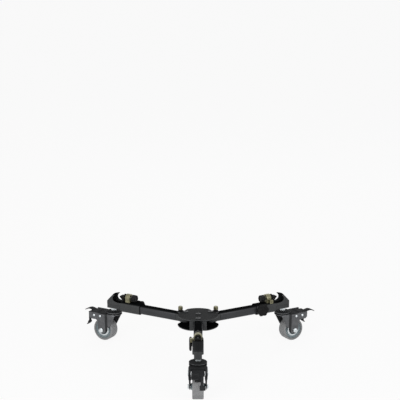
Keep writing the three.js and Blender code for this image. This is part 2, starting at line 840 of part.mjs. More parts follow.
function clampBlock(arm) {
  const bottom = sleeveTop + seatGap;
  const lugStart = clampBlockEnd - clampLugLength;
  const lugMiddle = (lugStart + clampBlockEnd) / 2;
  const body = join(
    alongArm(clampBlockDiameter, clampBlockStart, clampBlockEnd, 0, clampHeight, largeSides),
    block(clampBlockStart, clampBlockEnd, -clampFootWidth / 2, clampFootWidth / 2, bottom, clampHeight),
    block(lugStart, clampBlockEnd, -clampLugReach, 0, bottom, bottom + clampLugHeight),
  );
  const pierced = cut(
    body,
    alongArm(clampScrewDiameter + 2 * boreGap, clampBlockStart - cutOverrun, clampBlockEnd + cutOverrun,
      0, clampHeight, smallSides),
    acrossArm(clampLugHole, -clampLugReach - cutOverrun, -clampLugReach + clampLugHoleDepth,
      lugMiddle, bottom + clampLugHeight / 2, smallSides),
  );
  return named(`${arm}_clamp_block`, pierced, 'brass');
}

const padStart = clampBlockEnd + clampFlangeGap;
const padSeat = padStart + clampFlangeThickness;
const clampKnobEnd = clampBlockStart - clampKnobGap;

function clampScrew(arm) {
  const screw = alongArm(clampScrewDiameter, clampKnobEnd - clampKnobLength / 2, padStart + padSocketDepth,
    0, clampHeight, smallSides);
  return named(`${arm}_clamp_screw`, screw, 'zinc');
}

function clampKnob(arm) {
  const star = lobedOutline(clampKnobDiameter, clampKnobLobes, clampKnobLobeDepth);
  const body = lengthways(star, clampKnobEnd - clampKnobLength, clampKnobEnd).translate(0, 0, clampHeight);
  const socket = alongArm(clampScrewDiameter + 2 * seatGap, clampKnobEnd - clampKnobLength / 2 - seatGap,
    clampKnobEnd + cutOverrun, 0, clampHeight, smallSides);
  return named(`${arm}_clamp_knob`, cut(body, socket), 'blackPlastic');
}

// The pad leans out over the foot: longer at its top than at its bottom
function clampPad(arm) {
  const bottom = clampHeight - padDrop;
  const top = clampHeight + padRise;
  const outline = new THREE.Shape();
  outline.moveTo(padStart, bottom);
  outline.lineTo(padSeat + padFootLength, bottom);
  outline.lineTo(padSeat + padLength, top - padEdge);
  outline.lineTo(padSeat + padLength, top);
  outline.lineTo(padStart, top);
  outline.closePath();
  const body = join(
    alongArm(clampFlangeDiameter, padStart, padSeat, 0, clampHeight, largeSides),
    sideways(outline, -padWidth / 2, padWidth / 2),
  );
  const socket = alongArm(clampScrewDiameter + 2 * boreGap, padStart - cutOverrun,
    padStart + padSocketDepth + boreGap, 0, clampHeight, smallSides);
  return named(`${arm}_clamp_pad`, cut(body, socket), 'blackRubber');
}

function armGroup(arm) {
  const group = new THREE.Group();
  group.rotation.z = rad(armAngles[arm]);
  group.add(
    armTube(arm), armRoot(arm), rootBolt(arm),
    slider(arm), lockKnob(arm),
    clampBlock(arm), clampScrew(arm), clampKnob(arm), clampPad(arm),
    caster(arm),
  );
  return group;
}

// Hub

// A circle with three flats, one across each arm
function hubOutline() {
  const half = Math.acos(hubFlat / hubRadius);
  const outline = new THREE.Shape();
  const middles = Object.values(armAngles).map(rad).sort((a, b) => a - b);
  for (const middle of middles) {
    outline.absarc(0, 0, hubRadius, middle + half, middle + Math.PI * 2 / 3 - half, false);
  }
  return outline;
}

function hubHole(angle) {
  const x = pivotRadius * Math.cos(rad(angle));
  const y = pivotRadius * Math.sin(rad(angle));
  return upright(pivotDiameter + 2 * boreGap, hubBottom - cutOverrun, hubTop + cutOverrun, x, y, smallSides);
}

const hubHoles = () => [
  ...Object.values(armAngles).map(hubHole),
  upright(hubScrewDiameter + 2 * boreGap, hubBottom - cutOverrun, hubTop + cutOverrun, 0, 0, smallSides),
];

// The rear filler between the open arms: its two faces are their stops
function rearFiller() {
  const offset = tubeSize / 2 + runningGap;
  const start = offset / Math.cos(rad(armAngles.right));
  const side = hubRearReach * Math.cos(rad(armAngles.right));
  const rise = hubRearReach * Math.sin(rad(armAngles.right));
  const triangle = new THREE.Shape([
    new THREE.Vector2(0, start),
    new THREE.Vector2(side, start + rise),
    new THREE.Vector2(side, start + hubRearReach),
    new THREE.Vector2(-side, start + hubRearReach),
    new THREE.Vector2(-side, start + rise),
  ]);
  return common(
    raised(triangle, hubBottom, hubTopUnderside - seatGap),
    upright(2 * hubRearReach, hubBottom, hubTopUnderside - seatGap, 0, 0, 2 * largeSides),
  );
}

// The front bracket: a cheek on each side of the fixed arm
function bracketCheek(side) {
  const inner = side * (tubeSize / 2 + runningGap);
  const outer = side * bracketWidth / 2;
  return block(Math.min(inner, outer), Math.max(inner, outer), -bracketOuter, -bracketInner,
    hubBottom, hubTopUnderside - seatGap);
}

function hubBase() {
  const body = join(
    raised(hubOutline(), hubBottom, hubBottomTop),
    upright(hubBossDiameter, hubBottom, hubTopUnderside - seatGap, 0, 0, largeSides),
    rearFiller(),
    bracketCheek(-1),
    bracketCheek(1),
    block(-bracketWidth / 2, bracketWidth / 2, -bracketOuter, -bracketInner, hubBottom, hubBottomTop),
  );
  return named('hub_base', cut(body, ...hubHoles()), 'castBlack');
}

function tongue(angle) {
  const half = tongueWidth / 2;
  return join(
    block(0, tongueReach - half, -half, half, hubTopUnderside, hubTop),
    upright(tongueWidth, hubTopUnderside, hubTop, tongueReach - half, 0, largeSides),
  ).rotateZ(rad(angle));
}

function hubTopPlate() {
  const body = join(
    raised(hubOutline(), hubTopUnderside, hubTop),
    ...foldingArms.map((arm) => tongue(armAngles[arm])),
    block(-bracketWidth / 2, bracketWidth / 2, -bracketOuter, 0, hubTopUnderside, hubTop),
  );
  const seats = foldingArms.map((arm) => upright(
    plungerBarrelDiameter, hubTopUnderside - cutOverrun, hubTop + cutOverrun,
    plungerRadius * Math.cos(rad(armAngles[arm])), plungerRadius * Math.sin(rad(armAngles[arm])), smallSides));
  return named('hub_top_plate', cut(body, ...hubHoles(), ...seats), 'castBlack');
}

function hubScrew() {
  const under = hubBottom - seatGap;
  const over = hubTop + seatGap;
  const points = [
    [0, under - hubScrewHeadThickness],
    [hubScrewHeadDiameter / 2, under - hubScrewHeadThickness],
    [hubScrewHeadDiameter / 2, under],
    [hubScrewDiameter / 2, under],
    [hubScrewDiameter / 2, over],
    [hubScrewHeadDiameter / 2, over],
    [hubScrewHeadDiameter / 3, over + hubScrewHeadThickness],
    [0, over + hubScrewHeadThickness],
  ];
  return named('hub_screw', turned(points, smallSides), 'gunmetal');
}

// Indexing plunger on the top plate's tongue: body, pull cap with its pin, and the spring between them

const plungerSeat = hubTop + seatGap;
const barrelTop = plungerSeat + plungerBarrelHeight;
const collarTop = armTop + seatGap + plungerCollarHeight;
const springTop = barrelTop - plungerTopWall - seatGap;
const springBottom = collarTop + seatGap;

function plungerBody(arm) {
  const inner = plungerBore / 2 + boreGap;
  const neck = plungerBarrelDiameter / 2 - boreGap;
  const barrel = plungerBarrelDiameter / 2;
  const throat = plungerPinDiameter / 2 + boreGap;
  const points = [
    [inner, armTop + boreGap],
    [neck, armTop + boreGap],
    [neck, plungerSeat],
    [plungerDiameter / 2, plungerSeat],
    [plungerDiameter / 2, plungerSeat + plungerFlangeHeight],
    [barrel, plungerSeat + plungerFlangeHeight],
    [barrel, barrelTop],
    [throat, barrelTop],
    [throat, barrelTop - plungerTopWall],
    [inner, barrelTop - plungerTopWall],
    [inner, armTop + boreGap],
  ];
  return named(`${arm}_plunger_body`, turned(points, smallSides), 'blackPlastic');
}

function plungerPin(arm) {
  const skirt = plungerSeat + plungerFlangeHeight + seatGap;
  const top = plungerSeat + plungerCapHeight;
  const wall = plungerBarrelDiameter / 2 + boreGap;
  const points = [
    [0, armTop + seatGap],
    [plungerBore / 2 - boreGap, armTop + seatGap],
    [plungerBore / 2, armTop + seatGap + boreGap],
    [plungerBore / 2, collarTop],
    [plungerPinDiameter / 2, collarTop],
    [plungerPinDiameter / 2, top - plungerCapWall],
    [wall, top - plungerCapWall],
    [wall, skirt],
    [plungerDiameter / 2, skirt],
    [plungerDiameter / 2, top - boreGap],
    [plungerDiameter / 2 - boreGap, top],
    [0, top],
  ];
  return named(`${arm}_plunger_pin`, turned(points, smallSides), 'brass');
}

function plungerSpring(arm) {
  const radius = (plungerBore - springWire) / 2;
  const rise = springTop - springBottom - springWire;
  const helix = new THREE.Curve();
  helix.getPoint = (t, target = new THREE.Vector3()) => target.set(
    radius * Math.cos(2 * Math.PI * springTurns * t),
    radius * Math.sin(2 * Math.PI * springTurns * t),
    springBottom + springWire / 2 + rise * t);
  const wire = new THREE.Shape();
  wire.absarc(0, 0, springWire / 2, 0, Math.PI * 2);
  const steps = springTurns * springSteps;
  const coil = new THREE.ExtrudeGeometry(wire, {
    steps, extrudePath: helix, curveSegments: springSides, bevelEnabled: false,
  });
  return named(`${arm}_plunger_spring`, coil, 'springSteel');
}

function plunger(arm) {
  const group = new THREE.Group();
  const angle = rad(armAngles[arm]);
  group.position.set(plungerRadius * Math.cos(angle), plungerRadius * Math.sin(angle), 0);
  group.add(plungerBody(arm), plungerPin(arm), plungerSpring(arm));
  return group;
}

const dolly = new THREE.Group();
dolly.add(hubBase(), hubTopPlate(), hubScrew(), ...foldingArms.map(plunger));
for (const arm of Object.keys(armAngles)) dolly.add(armGroup(arm));

// The hub stands behind the origin, so that the outline's middle is over it
dolly.updateMatrixWorld(true);
const outline = new THREE.Box3().setFromObject(dolly, true);
const middle = outline.getCenter(new THREE.Vector3());
dolly.position.set(-middle.x, -middle.y, -outline.min.z);

export default dolly;
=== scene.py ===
"""Tripod dolly: its looks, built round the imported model.

Pieces are built in millimetres in the arm's own frame: x out from the hub's axis, y across the arm,
anticlockwise seen from above, and z up from the floor. One set is built, and copied to the three arms.
"""
import json
from contextlib import contextmanager
from functools import partial
from math import acos, asin, cos, degrees, pi, radians, sin, sqrt

import bmesh
import bpy
from mathutils import Matrix, Vector

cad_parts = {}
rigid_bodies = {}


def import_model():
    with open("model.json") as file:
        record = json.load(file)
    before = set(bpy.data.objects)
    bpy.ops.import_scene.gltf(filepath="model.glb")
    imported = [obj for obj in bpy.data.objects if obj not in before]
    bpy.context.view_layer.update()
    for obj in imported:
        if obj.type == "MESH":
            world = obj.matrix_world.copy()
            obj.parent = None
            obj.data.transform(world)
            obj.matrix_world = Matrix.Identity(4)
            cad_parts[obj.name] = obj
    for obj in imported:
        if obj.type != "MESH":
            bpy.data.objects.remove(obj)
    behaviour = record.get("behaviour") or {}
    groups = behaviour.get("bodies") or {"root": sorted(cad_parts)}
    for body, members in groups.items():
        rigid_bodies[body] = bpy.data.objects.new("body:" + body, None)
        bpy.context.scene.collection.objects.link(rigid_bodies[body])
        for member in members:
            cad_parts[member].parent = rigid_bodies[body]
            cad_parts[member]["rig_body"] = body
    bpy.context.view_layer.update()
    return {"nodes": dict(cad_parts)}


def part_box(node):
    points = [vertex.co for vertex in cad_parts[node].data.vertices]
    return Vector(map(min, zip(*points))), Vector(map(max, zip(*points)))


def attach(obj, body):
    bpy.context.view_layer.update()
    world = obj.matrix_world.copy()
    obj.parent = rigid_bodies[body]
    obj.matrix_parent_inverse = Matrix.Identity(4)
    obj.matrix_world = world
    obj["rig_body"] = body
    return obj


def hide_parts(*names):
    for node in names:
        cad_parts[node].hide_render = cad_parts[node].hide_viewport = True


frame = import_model()

MM = 0.001
ARM_ANGLES = {"front": -90, "right": 30, "left": 150}
FOLDING_ARMS = ("right", "left")

# Facets round a piece and in a corner
ROUND = 96
SMALL_ROUND = 48
CORNER_STEPS = 10
# The smallest detail of a cast, a pressed and a milled piece
CAST_VOXEL = 0.8
PRESSED_VOXEL = 0.62
PEDAL_VOXEL = 0.6
MILLED_VOXEL = 0.5
# Edges that turn by more than this stay sharp, on turned pieces and on cast ones
SHARP_ANGLE = 34
CAST_ANGLE = 60

# Fits, how far a cutting tool runs on, and what counts as one point
SEAT_GAP = 0.3
BORE_GAP = 0.4
OVERRUN = 2
SAME_POINT = 0.0005

# The hub's axis stands at the middle of its centre screw
HUB_SCREW_LOW, HUB_SCREW_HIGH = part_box("hub_screw")
HUB = (HUB_SCREW_LOW + HUB_SCREW_HIGH) / 2 / MM


def span(kind):
    """Where a piece of an arm lies: its lowest and highest corners in the arm's frame, from the front arm."""
    low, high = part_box(f"front_{kind}")
    return (
        Vector((HUB.y - high.y / MM, low.x / MM - HUB.x, low.z / MM)),
        Vector((HUB.y - low.y / MM, high.x / MM - HUB.x, high.z / MM)),
    )


# Places and sizes that the frame gives
TUBE_LOW, TUBE_HIGH = span("arm_tube")
SLIDER_LOW, SLIDER_HIGH = span("slider")
STEM_LOW, STEM_HIGH = span("caster_stem")
NUT_LOW, NUT_HIGH = span("stem_nut")
TREAD_LOW, TREAD_HIGH = span("wheel_tread")
PIN_LOW, PIN_HIGH = span("pedal_pin")
KNOB_LOW, KNOB_HIGH = span("lock_knob")
BLOCK_LOW, BLOCK_HIGH = span("clamp_block")
SCREW_LOW, SCREW_HIGH = span("clamp_screw")
CLAMP_KNOB_LOW, CLAMP_KNOB_HIGH = span("clamp_knob")
PAD_LOW, PAD_HIGH = span("clamp_pad")
BOLT_LOW, BOLT_HIGH = span("root_bolt")
FORK_HIGH = span("fork")[1]
CORE_END = span("wheel_core")[1].y
AXLE_END = span("axle_bolt")[1].y

SWIVEL = (STEM_LOW.x + STEM_HIGH.x) / 2
WHEEL_RADIUS = TREAD_HIGH.z / 2
WHEEL_AXIS = ((TREAD_LOW.x + TREAD_HIGH.x) / 2, WHEEL_RADIUS)
PEDAL_AXIS = ((PIN_LOW.x + PIN_HIGH.x) / 2, (PIN_LOW.z + PIN_HIGH.z) / 2)
ARM_HEIGHT = (TUBE_LOW.z + TUBE_HIGH.z) / 2
TUBE_SIZE = TUBE_HIGH.z - TUBE_LOW.z
ARM_TOP = ARM_HEIGHT + TUBE_SIZE / 2
PIVOT = (BOLT_LOW.x + BOLT_HIGH.x) / 2
CLAMP_AXIS = (0, (SCREW_LOW.z + SCREW_HIGH.z) / 2)


# Mesh work


@contextmanager
def edited(mesh):
    work = bmesh.new()
    work.from_mesh(mesh)
    yield work
    work.to_mesh(mesh)
    work.free()


def put(name, data):
    """A new object in the scene."""
    made = bpy.data.objects.new(name, data)
    bpy.context.scene.collection.objects.link(made)
    return made


def outward(piece):
    """Merges doubles and turns the faces outwards."""
    with edited(piece.data) as work:
        bmesh.ops.remove_doubles(work, verts=work.verts, dist=SAME_POINT)
        bmesh.ops.recalc_face_normals(work, faces=work.faces)
    return piece


def mesh_object(name, vertices, faces):
    """A closed mesh with its faces turned outwards."""
    mesh = bpy.data.meshes.new(name)
    mesh.from_pydata([tuple(v) for v in vertices], [], faces)
    return outward(put(name, mesh))


def settled(piece):
    """Keeps what a piece's modifiers make as its mesh, and takes them off."""
    graph = bpy.context.evaluated_depsgraph_get()
    result = bpy.data.meshes.new_from_object(piece.evaluated_get(graph))
    piece.modifiers.clear()
    old = piece.data
    piece.data = result
    bpy.data.meshes.remove(old)
    return piece


def changed(piece, kind, **settings):
    """Puts one modifier on a piece and keeps its result."""
    step = piece.modifiers.new(kind.lower(), kind)
    for name, value in settings.items():
        setattr(step, name, value)
    return settled(piece)


def combined(operation, piece, *tools):
    for tool in tools:
        changed(piece, "BOOLEAN", operation=operation, object=tool, solver="MANIFOLD")
        bpy.data.objects.remove(tool)
    return piece


union = partial(combined, "UNION")
cut = partial(combined, "DIFFERENCE")
common = partial(combined, "INTERSECT")


def grouped(piece, *others):
    """One mesh of several closed shells."""
    with edited(piece.data) as work:
        for other in others:
            work.from_mesh(other.data)
    for other in others:
        bpy.data.objects.remove(other)
    return piece


def rounded(piece, width, segments, angle=28):
    """Rounds the edges that turn by more than the angle."""
    return changed(piece, "BEVEL", width=width, segments=segments, limit_method="ANGLE",
                   angle_limit=radians(angle))


def casting(solids, holes, voxel=CAST_VOXEL, passes=2):
    """Solids joined, drilled and melted into one skin with small fillets, as a casting or pressing has."""
    body = cut(union(*solids), *holes)
    changed(body, "REMESH", mode="VOXEL", voxel_size=voxel)
    return changed(body, "SMOOTH", factor=0.5, iterations=passes)


def shaded(piece, angle=SHARP_ANGLE):
    """Smooth shading, broken at the edges that turn by more than the angle."""
    with edited(piece.data) as work:
        for face in work.faces:
            face.smooth = True
        for edge in work.edges:
            edge.smooth = edge.calc_face_angle(0) < radians(angle)
    return piece


# Outlines, each a list of points in turn, and the solids made from them


def arc(centre, radius, start, end, steps=CORNER_STEPS):
    """Points on an arc, its angles in degrees."""
    angles = [radians(start + (end - start) * i / steps) for i in range(steps + 1)]
    return [(centre[0] + radius * cos(a), centre[1] + radius * sin(a)) for a in angles]


def rounded_box(u0, u1, v0, v1, radius):
    """A rectangle with round corners."""
    left, right, low, high = u0 + radius, u1 - radius, v0 + radius, v1 - radius
    centres = [(right, high), (left, high), (left, low), (right, low)]
    return [point for i, centre in enumerate(centres) for point in arc(centre, radius, 90 * i, 90 * i + 90)]


def hexagon(width, centre=(0, 0)):
    """Six corners, with the given width across flats."""
    return arc(centre, width / sqrt(3), 0, 300, 5)


def curve_through(points, steps):
    """Points on a smooth curve through the given ones."""
    ends = [points[0]] + list(points) + [points[-1]]
    out = []
    for i in range(1, len(ends) - 2):
        p0, p1, p2, p3 = (Vector(p) for p in ends[i - 1:i + 3])
        for step in range(steps):
            t = step / steps
            out.append(tuple(0.5 * (2 * p1 + (p2 - p0) * t + (2 * p0 - 5 * p1 + 4 * p2 - p3) * t * t
                                    + (3 * p1 - p0 - 3 * p2 + p3) * t ** 3)))
    return out + [tuple(points[-1])]


def on_axis(axis, u, v, along):
    """A point along an axis, and across it by (y, z) for X, (x, z) for Y or (x, y) for Z."""
    return {"X": (along, u, v), "Y": (u, along, v), "Z": (u, v, along)}[axis]


def prism(axis, outline, start, end):
    """An outline drawn out along an axis."""
    count = len(outline)
    vertices = [on_axis(axis, u, v, along) for along in (start, end) for u, v in outline]
    faces = [tuple(range(count)), tuple(range(count, 2 * count))]
    faces += [(i, (i + 1) % count, count + (i + 1) % count, count + i) for i in range(count)]
    return mesh_object("prism", vertices, faces)


def box(x0, x1, y0, y1, z0, z1):
    return prism("Z", [(x0, y0), (x1, y0), (x1, y1), (x0, y1)], z0, z1)


def twins(near, far, make):
    """The same shape on both sides of the middle, between two distances from it."""
    return [make(*sorted((side * near, side * far))) for side in (1, -1)]


def lathe(axis, profile, centre=(0, 0), sides=ROUND, reshape=None):
    """A profile of (radius, place along the axis), turned round it through centre.

    A profile that doesn't start and end on the axis closes on itself. reshape changes a radius by its angle.
    """
    vertices, rings = [], []
    for radius, along in profile:
        if not radius:
            rings.append([len(vertices)] * sides)
            vertices.append(on_axis(axis, *centre, along))
            continue
        rings.append(list(range(len(vertices), len(vertices) + sides)))
        for i in range(sides):
            angle = 2 * pi * i / sides
            reach = reshape(radius, angle) if reshape else radius
            u, v = centre[0] + reach * cos(angle), centre[1] + reach * sin(angle)
            vertices.append(on_axis(axis, u, v, along))
    if profile[0][0] or profile[-1][0]:
        rings.append(rings[0])
    faces = []
    for a, b in zip(rings, rings[1:]):
        for i in range(sides):
            j = (i + 1) % sides
            corners = list(dict.fromkeys([a[i], a[j], b[j], b[i]]))
            if len(corners) > 2:
                faces.append(corners)
    return mesh_object("turned", vertices, faces)


def rod(axis, diameter, start, end, centre=(0, 0), edge=0.0, sides=SMALL_ROUND):
    """A round bar with a chamfer on each end."""
    radius = diameter / 2
    side = [(radius, start + edge), (radius, end - edge)]
    if edge:
        side = [(radius - edge, start), *side, (radius - edge, end)]
    return lathe(axis, [(0, start), *side, (0, end)], centre, sides)


def bore(axis, diameter, start, end, centre=(0, 0)):
    """A tool that bores right through, and runs on past both ends."""
    return rod(axis, diameter, start - OVERRUN, end + OVERRUN, centre)


def dome(rise, radius, start, direction, steps=8):
    """The profile of a shallow dome over a disc, from its edge to the axis."""
    turns = [pi / 2 * i / steps for i in range(steps)]
    side = [(radius * cos(t), start + direction * rise * sin(t)) for t in turns]
    return side + [(0, start + direction * rise)]


def hex_head(axis, width, start, end, centre=(0, 0)):
    """A hexagon whose corners are turned down at both ends."""
    corner = width / sqrt(3)
    edge = corner - width / 2
    flat = width / 2 - edge / 3
    rim = corner + SEAT_GAP / 3
    turned_down = edge * 0.8
    blank = lathe(axis, [(0, start), (flat, start), (rim, start + turned_down), (rim, end - turned_down),
                         (flat, end), (0, end)], centre, SMALL_ROUND)
    return common(blank, prism(axis, hexagon(width, centre), start - OVERRUN, end + OVERRUN))


# Geometry Nodes: what repeats


def add(tree, kind, values=(), out=0, **settings):
    """Adds a node and returns one of its outputs.

    Values fill its inputs, in turn or by name, with numbers or links. Settings are its own properties.
    """
    made = tree.nodes.new(kind if "Node" in kind else tree.bl_idname.removesuffix("Tree") + kind)
    for name, value in settings.items():
        setattr(made, name, value)
    for name, value in values.items() if isinstance(values, dict) else enumerate(values):
        if isinstance(value, bpy.types.NodeSocket):
            tree.links.new(value, made.inputs[name])
        else:
            made.inputs[name].default_value = value
    return made.outputs[out] if made.outputs else None


def node_tree(name, build, **sizes):
    """A tree with named inputs. build adds its nodes and returns its shape."""
    tree = bpy.data.node_groups.new(name, "GeometryNodeTree")
    for label, kind in sizes.items():
        tree.interface.new_socket(label, in_out="INPUT", socket_type=f"NodeSocket{kind}")
    tree.interface.new_socket("Geometry", in_out="OUTPUT", socket_type="NodeSocketGeometry")
    shape = build(tree, tree.nodes.new("NodeGroupInput").outputs)
    tree.links.new(shape, tree.nodes.new("NodeGroupOutput").inputs[0])
    return tree


def repeated(tree, given, points, **turn):
    """Copies of a small piece on points, as one mesh."""
    piece = add(tree, "ObjectInfo", {"Object": given["Piece"]}, "Geometry")
    placed = add(tree, "InstanceOnPoints", {"Points": points, "Instance": piece, **turn})
    return add(tree, "RealizeInstances", [placed])


def ring_shape(tree, given):
    """Copies on a circle, each turned to face out from the middle."""
    circle = add(tree, "MeshCircle", {"Vertices": given["Count"], "Radius": given["Radius"]})
    facing = add(tree, "FunctionNodeAlignRotationToVector", {"Vector": add(tree, "InputPosition")}, axis="X")
    return repeated(tree, given, circle, Rotation=facing)


def row_shape(tree, given):
    return repeated(tree, given, add(tree, "MeshLine", {"Count": given["Count"], "Offset": given["Step"]}))


def helix_shape(tree, given):
    """A wire wound round Z: a screw's thread, or a spring."""
    path = add(tree, "CurveSpiral", {
        "Resolution": given["Steps"], "Rotations": given["Turns"], "Start Radius": given["Radius"],
        "End Radius": given["Radius"], "Height": given["Rise"]})
    section = add(tree, "CurvePrimitiveCircle", {"Resolution": given["Sides"], "Radius": given["Wire"]})
    return add(tree, "CurveToMesh", {"Curve": path, "Profile Curve": section, "Fill Caps": True})


RING = node_tree("ring_of_pieces", ring_shape, Piece="Object", Count="Int", Radius="Float")
ROW = node_tree("row_of_pieces", row_shape, Piece="Object", Count="Int", Step="Vector")
HELIX = node_tree("helix", helix_shape, Radius="Float", Turns="Float", Rise="Float", Wire="Float",
                  Sides="Int", Steps="Int")


def grown(tree, **inputs):
    """Runs a tree with its named inputs, and returns its shape as a plain mesh.

    A small piece that is given to it goes.
    """
    carrier = mesh_object(tree.name, [(0, 0, 0)], [])
    step = carrier.modifiers.new(tree.name, "NODES")
    step.node_group = tree
    for item in tree.interface.items_tree:
        if item.name in inputs:
            step[item.identifier] = inputs[item.name]
    bpy.context.view_layer.update()
    made = outward(settled(carrier))
    if "Piece" in inputs:
        bpy.data.objects.remove(inputs["Piece"])
    return made


# A thread's crest, as a share of its pitch
CREST = 0.3


def thread(diameter, pitch, start, end, axis="Z", centre=(0, 0)):
    """The crest of a thread, sunk in the bar that it is on."""
    crest = grown(HELIX, Radius=diameter / 2 - pitch * CREST, Turns=(end - start) / pitch, Rise=end - start,
                  Wire=pitch * CREST, Sides=4, Steps=24)
    turns = {
        "X": Matrix.Rotation(pi / 2, 4, "Y"),
        "Y": Matrix.Rotation(-pi / 2, 4, "X"),
        "Z": Matrix.Identity(4),
    }
    crest.data.transform(Matrix.Translation(on_axis(axis, *centre, start)) @ turns[axis])
    return crest


# Finishes. Their patterns are sized in millimetres


def paint(text):
    """An sRGB hex colour as linear values."""
    parts = [int(text[i:i + 2], 16) / 255 for i in (1, 3, 5)]
    return [c / 12.92 if c <= 0.04045 else ((c + 0.055) / 1.055) ** 2.4 for c in parts] + [1]


def blobs(tree, size, detail=3, roughness=0.5, stretch=None):
    """Noise whose blobs are so wide.

    It reads Object coordinates, or the place in the arm's frame if it is stretched.
    """
    if stretch:
        place = add(tree, "Attribute", out="Vector", attribute_name="arm_place")
        where = add(tree, "Mapping", {"Vector": place, "Scale": [MM / share for share in stretch]})
    else:
        where = add(tree, "TexCoord", out="Object")
    return add(tree, "TexNoise", {
        "Vector": where, "Scale": 1 / (size * MM), "Detail": detail, "Roughness": roughness})


def rubbed_edges(tree):
    """Patches on the edges that stand out."""
    edges = add(tree, "MapRange", [add(tree, "NewGeometry", out="Pointiness"), 0.53, 0.6, 0, 0.75])
    return add(tree, "Math", [edges, blobs(tree, 6)], operation="MULTIPLY")


def spangle(tree):
    """The crystals of a zinc plate, about 7 mm wide."""
    return add(tree, "TexVoronoi", {
        "Vector": add(tree, "TexCoord", out="Object"), "Scale": 1 / (7 * MM), "Randomness": 1.0},
        feature="SMOOTH_F1")


def top_painted_shade(tree, most=1.0):
    """How much painted shade darkens a face: more, the more it looks up."""
    up = add(tree, "Attribute", out="Fac", attribute_name="faces_up")
    return add(tree, "MapRange", [up, 0.35, 0.8, 0, most])


def along_arm(tree):
    """How far out a place is along its arm, in millimetres."""
    return add(tree, "SeparateXYZ", [add(tree, "Attribute", out="Vector", attribute_name="arm_place")])


def tube_painted_shade(tree):
    """The painted shade on a tube: on its top, and near the hub, where the plates shade it."""
    hub_shade = add(tree, "MapRange", [along_arm(tree), PIVOT + 17, PIVOT + 22, 0.75, 0])
    return add(tree, "Math", [top_painted_shade(tree), hub_shade], operation="MAXIMUM")


def pressing_painted_shade(tree):
    """The painted shade on a pressing: on its top, in the fork's pressed step, and all over the pedal."""
    inside = add(tree, "Math", [along_arm(tree), GROOVE_PLACE, GROOVE_HALF], operation="COMPARE")
    painted_shade = add(tree, "MapRange", [inside, 0, 1, 0, 0.75])
    for other in (top_painted_shade(tree, 0.9), add(tree, "Attribute", out="Fac", attribute_name="dark_film")):
        painted_shade = add(tree, "Math", [painted_shade, other], operation="MAXIMUM")
    return painted_shade


def finish(name, first, *layers, sheen, relief=None, painted_shade=None, **shader):
    """A material from its first colour, the layers of colour over it, its sheen, its relief and its painted
    shade.

    Each is led by a pattern: the settings of blobs, or a function that adds its own nodes. A layer is a
    pattern, where it starts and ends, the most that it covers, and its colour. Sheen is a pattern and the
    roughness from one end of it to the other. Relief is a pattern and its depth. The painted shade is a
    pattern, its colour and roughness, and the specular level where it is thickest.
    """
    made = bpy.data.materials.new(name)
    made.use_nodes = True
    tree = made.node_tree
    base = tree.nodes["Principled BSDF"].inputs

    def drawn(pattern):
        return pattern(tree) if callable(pattern) else blobs(tree, *pattern)

    for socket, value in shader.items():
        base[socket.replace("_", " ")].default_value = value
    colour = paint(first)
    for pattern, start, end, most, laid in layers:
        share = add(tree, "MapRange", [drawn(pattern), start, end, 0, most])
        colour = add(tree, "Mix", {0: share, 6: colour, 7: paint(laid)}, 2, data_type="RGBA")
    pattern, low, high = sheen
    rough = add(tree, "MapRange", [drawn(pattern), 0.3, 0.7, low, high])
    # The painted shade darkens the colour and dulls the reflection where its pattern is high
    if painted_shade:
        pattern, shade_colour, dull_rough, shine = painted_shade
        share = drawn(pattern)
        colour = add(tree, "Mix", {0: share, 6: colour, 7: paint(shade_colour)}, 2, data_type="RGBA")
        rough = add(tree, "Mix", {0: share, 2: rough, 3: dull_rough})
        for socket, end in {"Metallic": 0, "Specular IOR Level": shine}.items():
            level = add(tree, "MapRange", [share, 0, 1, base[socket].default_value, end])
            tree.links.new(level, base[socket])
    if relief:
        pattern, depth = relief
        bump = add(tree, "Bump", {"Height": drawn(pattern), "Distance": depth * MM})
        tree.links.new(bump, base["Normal"])
    tree.links.new(colour, base["Base Color"])
    tree.links.new(rough, base["Roughness"])
    return made


# The fork's pressed step, darkened with painted shade: its middle and half its width
GROOVE_PLACE = SWIVEL + 14.5
GROOVE_HALF = 4.5

# Grain, die lines, tool lines, scuffs and patches that lead more than one thing in a finish
POWDER_GRAIN = (1.1, 2)
DIE_LINES = (1.6, 2, 0.5, (60, 1, 1))
TOOL_LINES = (1.0, 2, 0.5, (1, 40, 40))
SCUFFS = (2.5, 5, 0.7, (14, 1, 3))
MOULD_GRAIN = (0.8, 2)
BLOOM = (8, 5, 0.6)
DUST = (5, 6, 0.65)
FLOW_MARKS = (16, 4, 0.6)

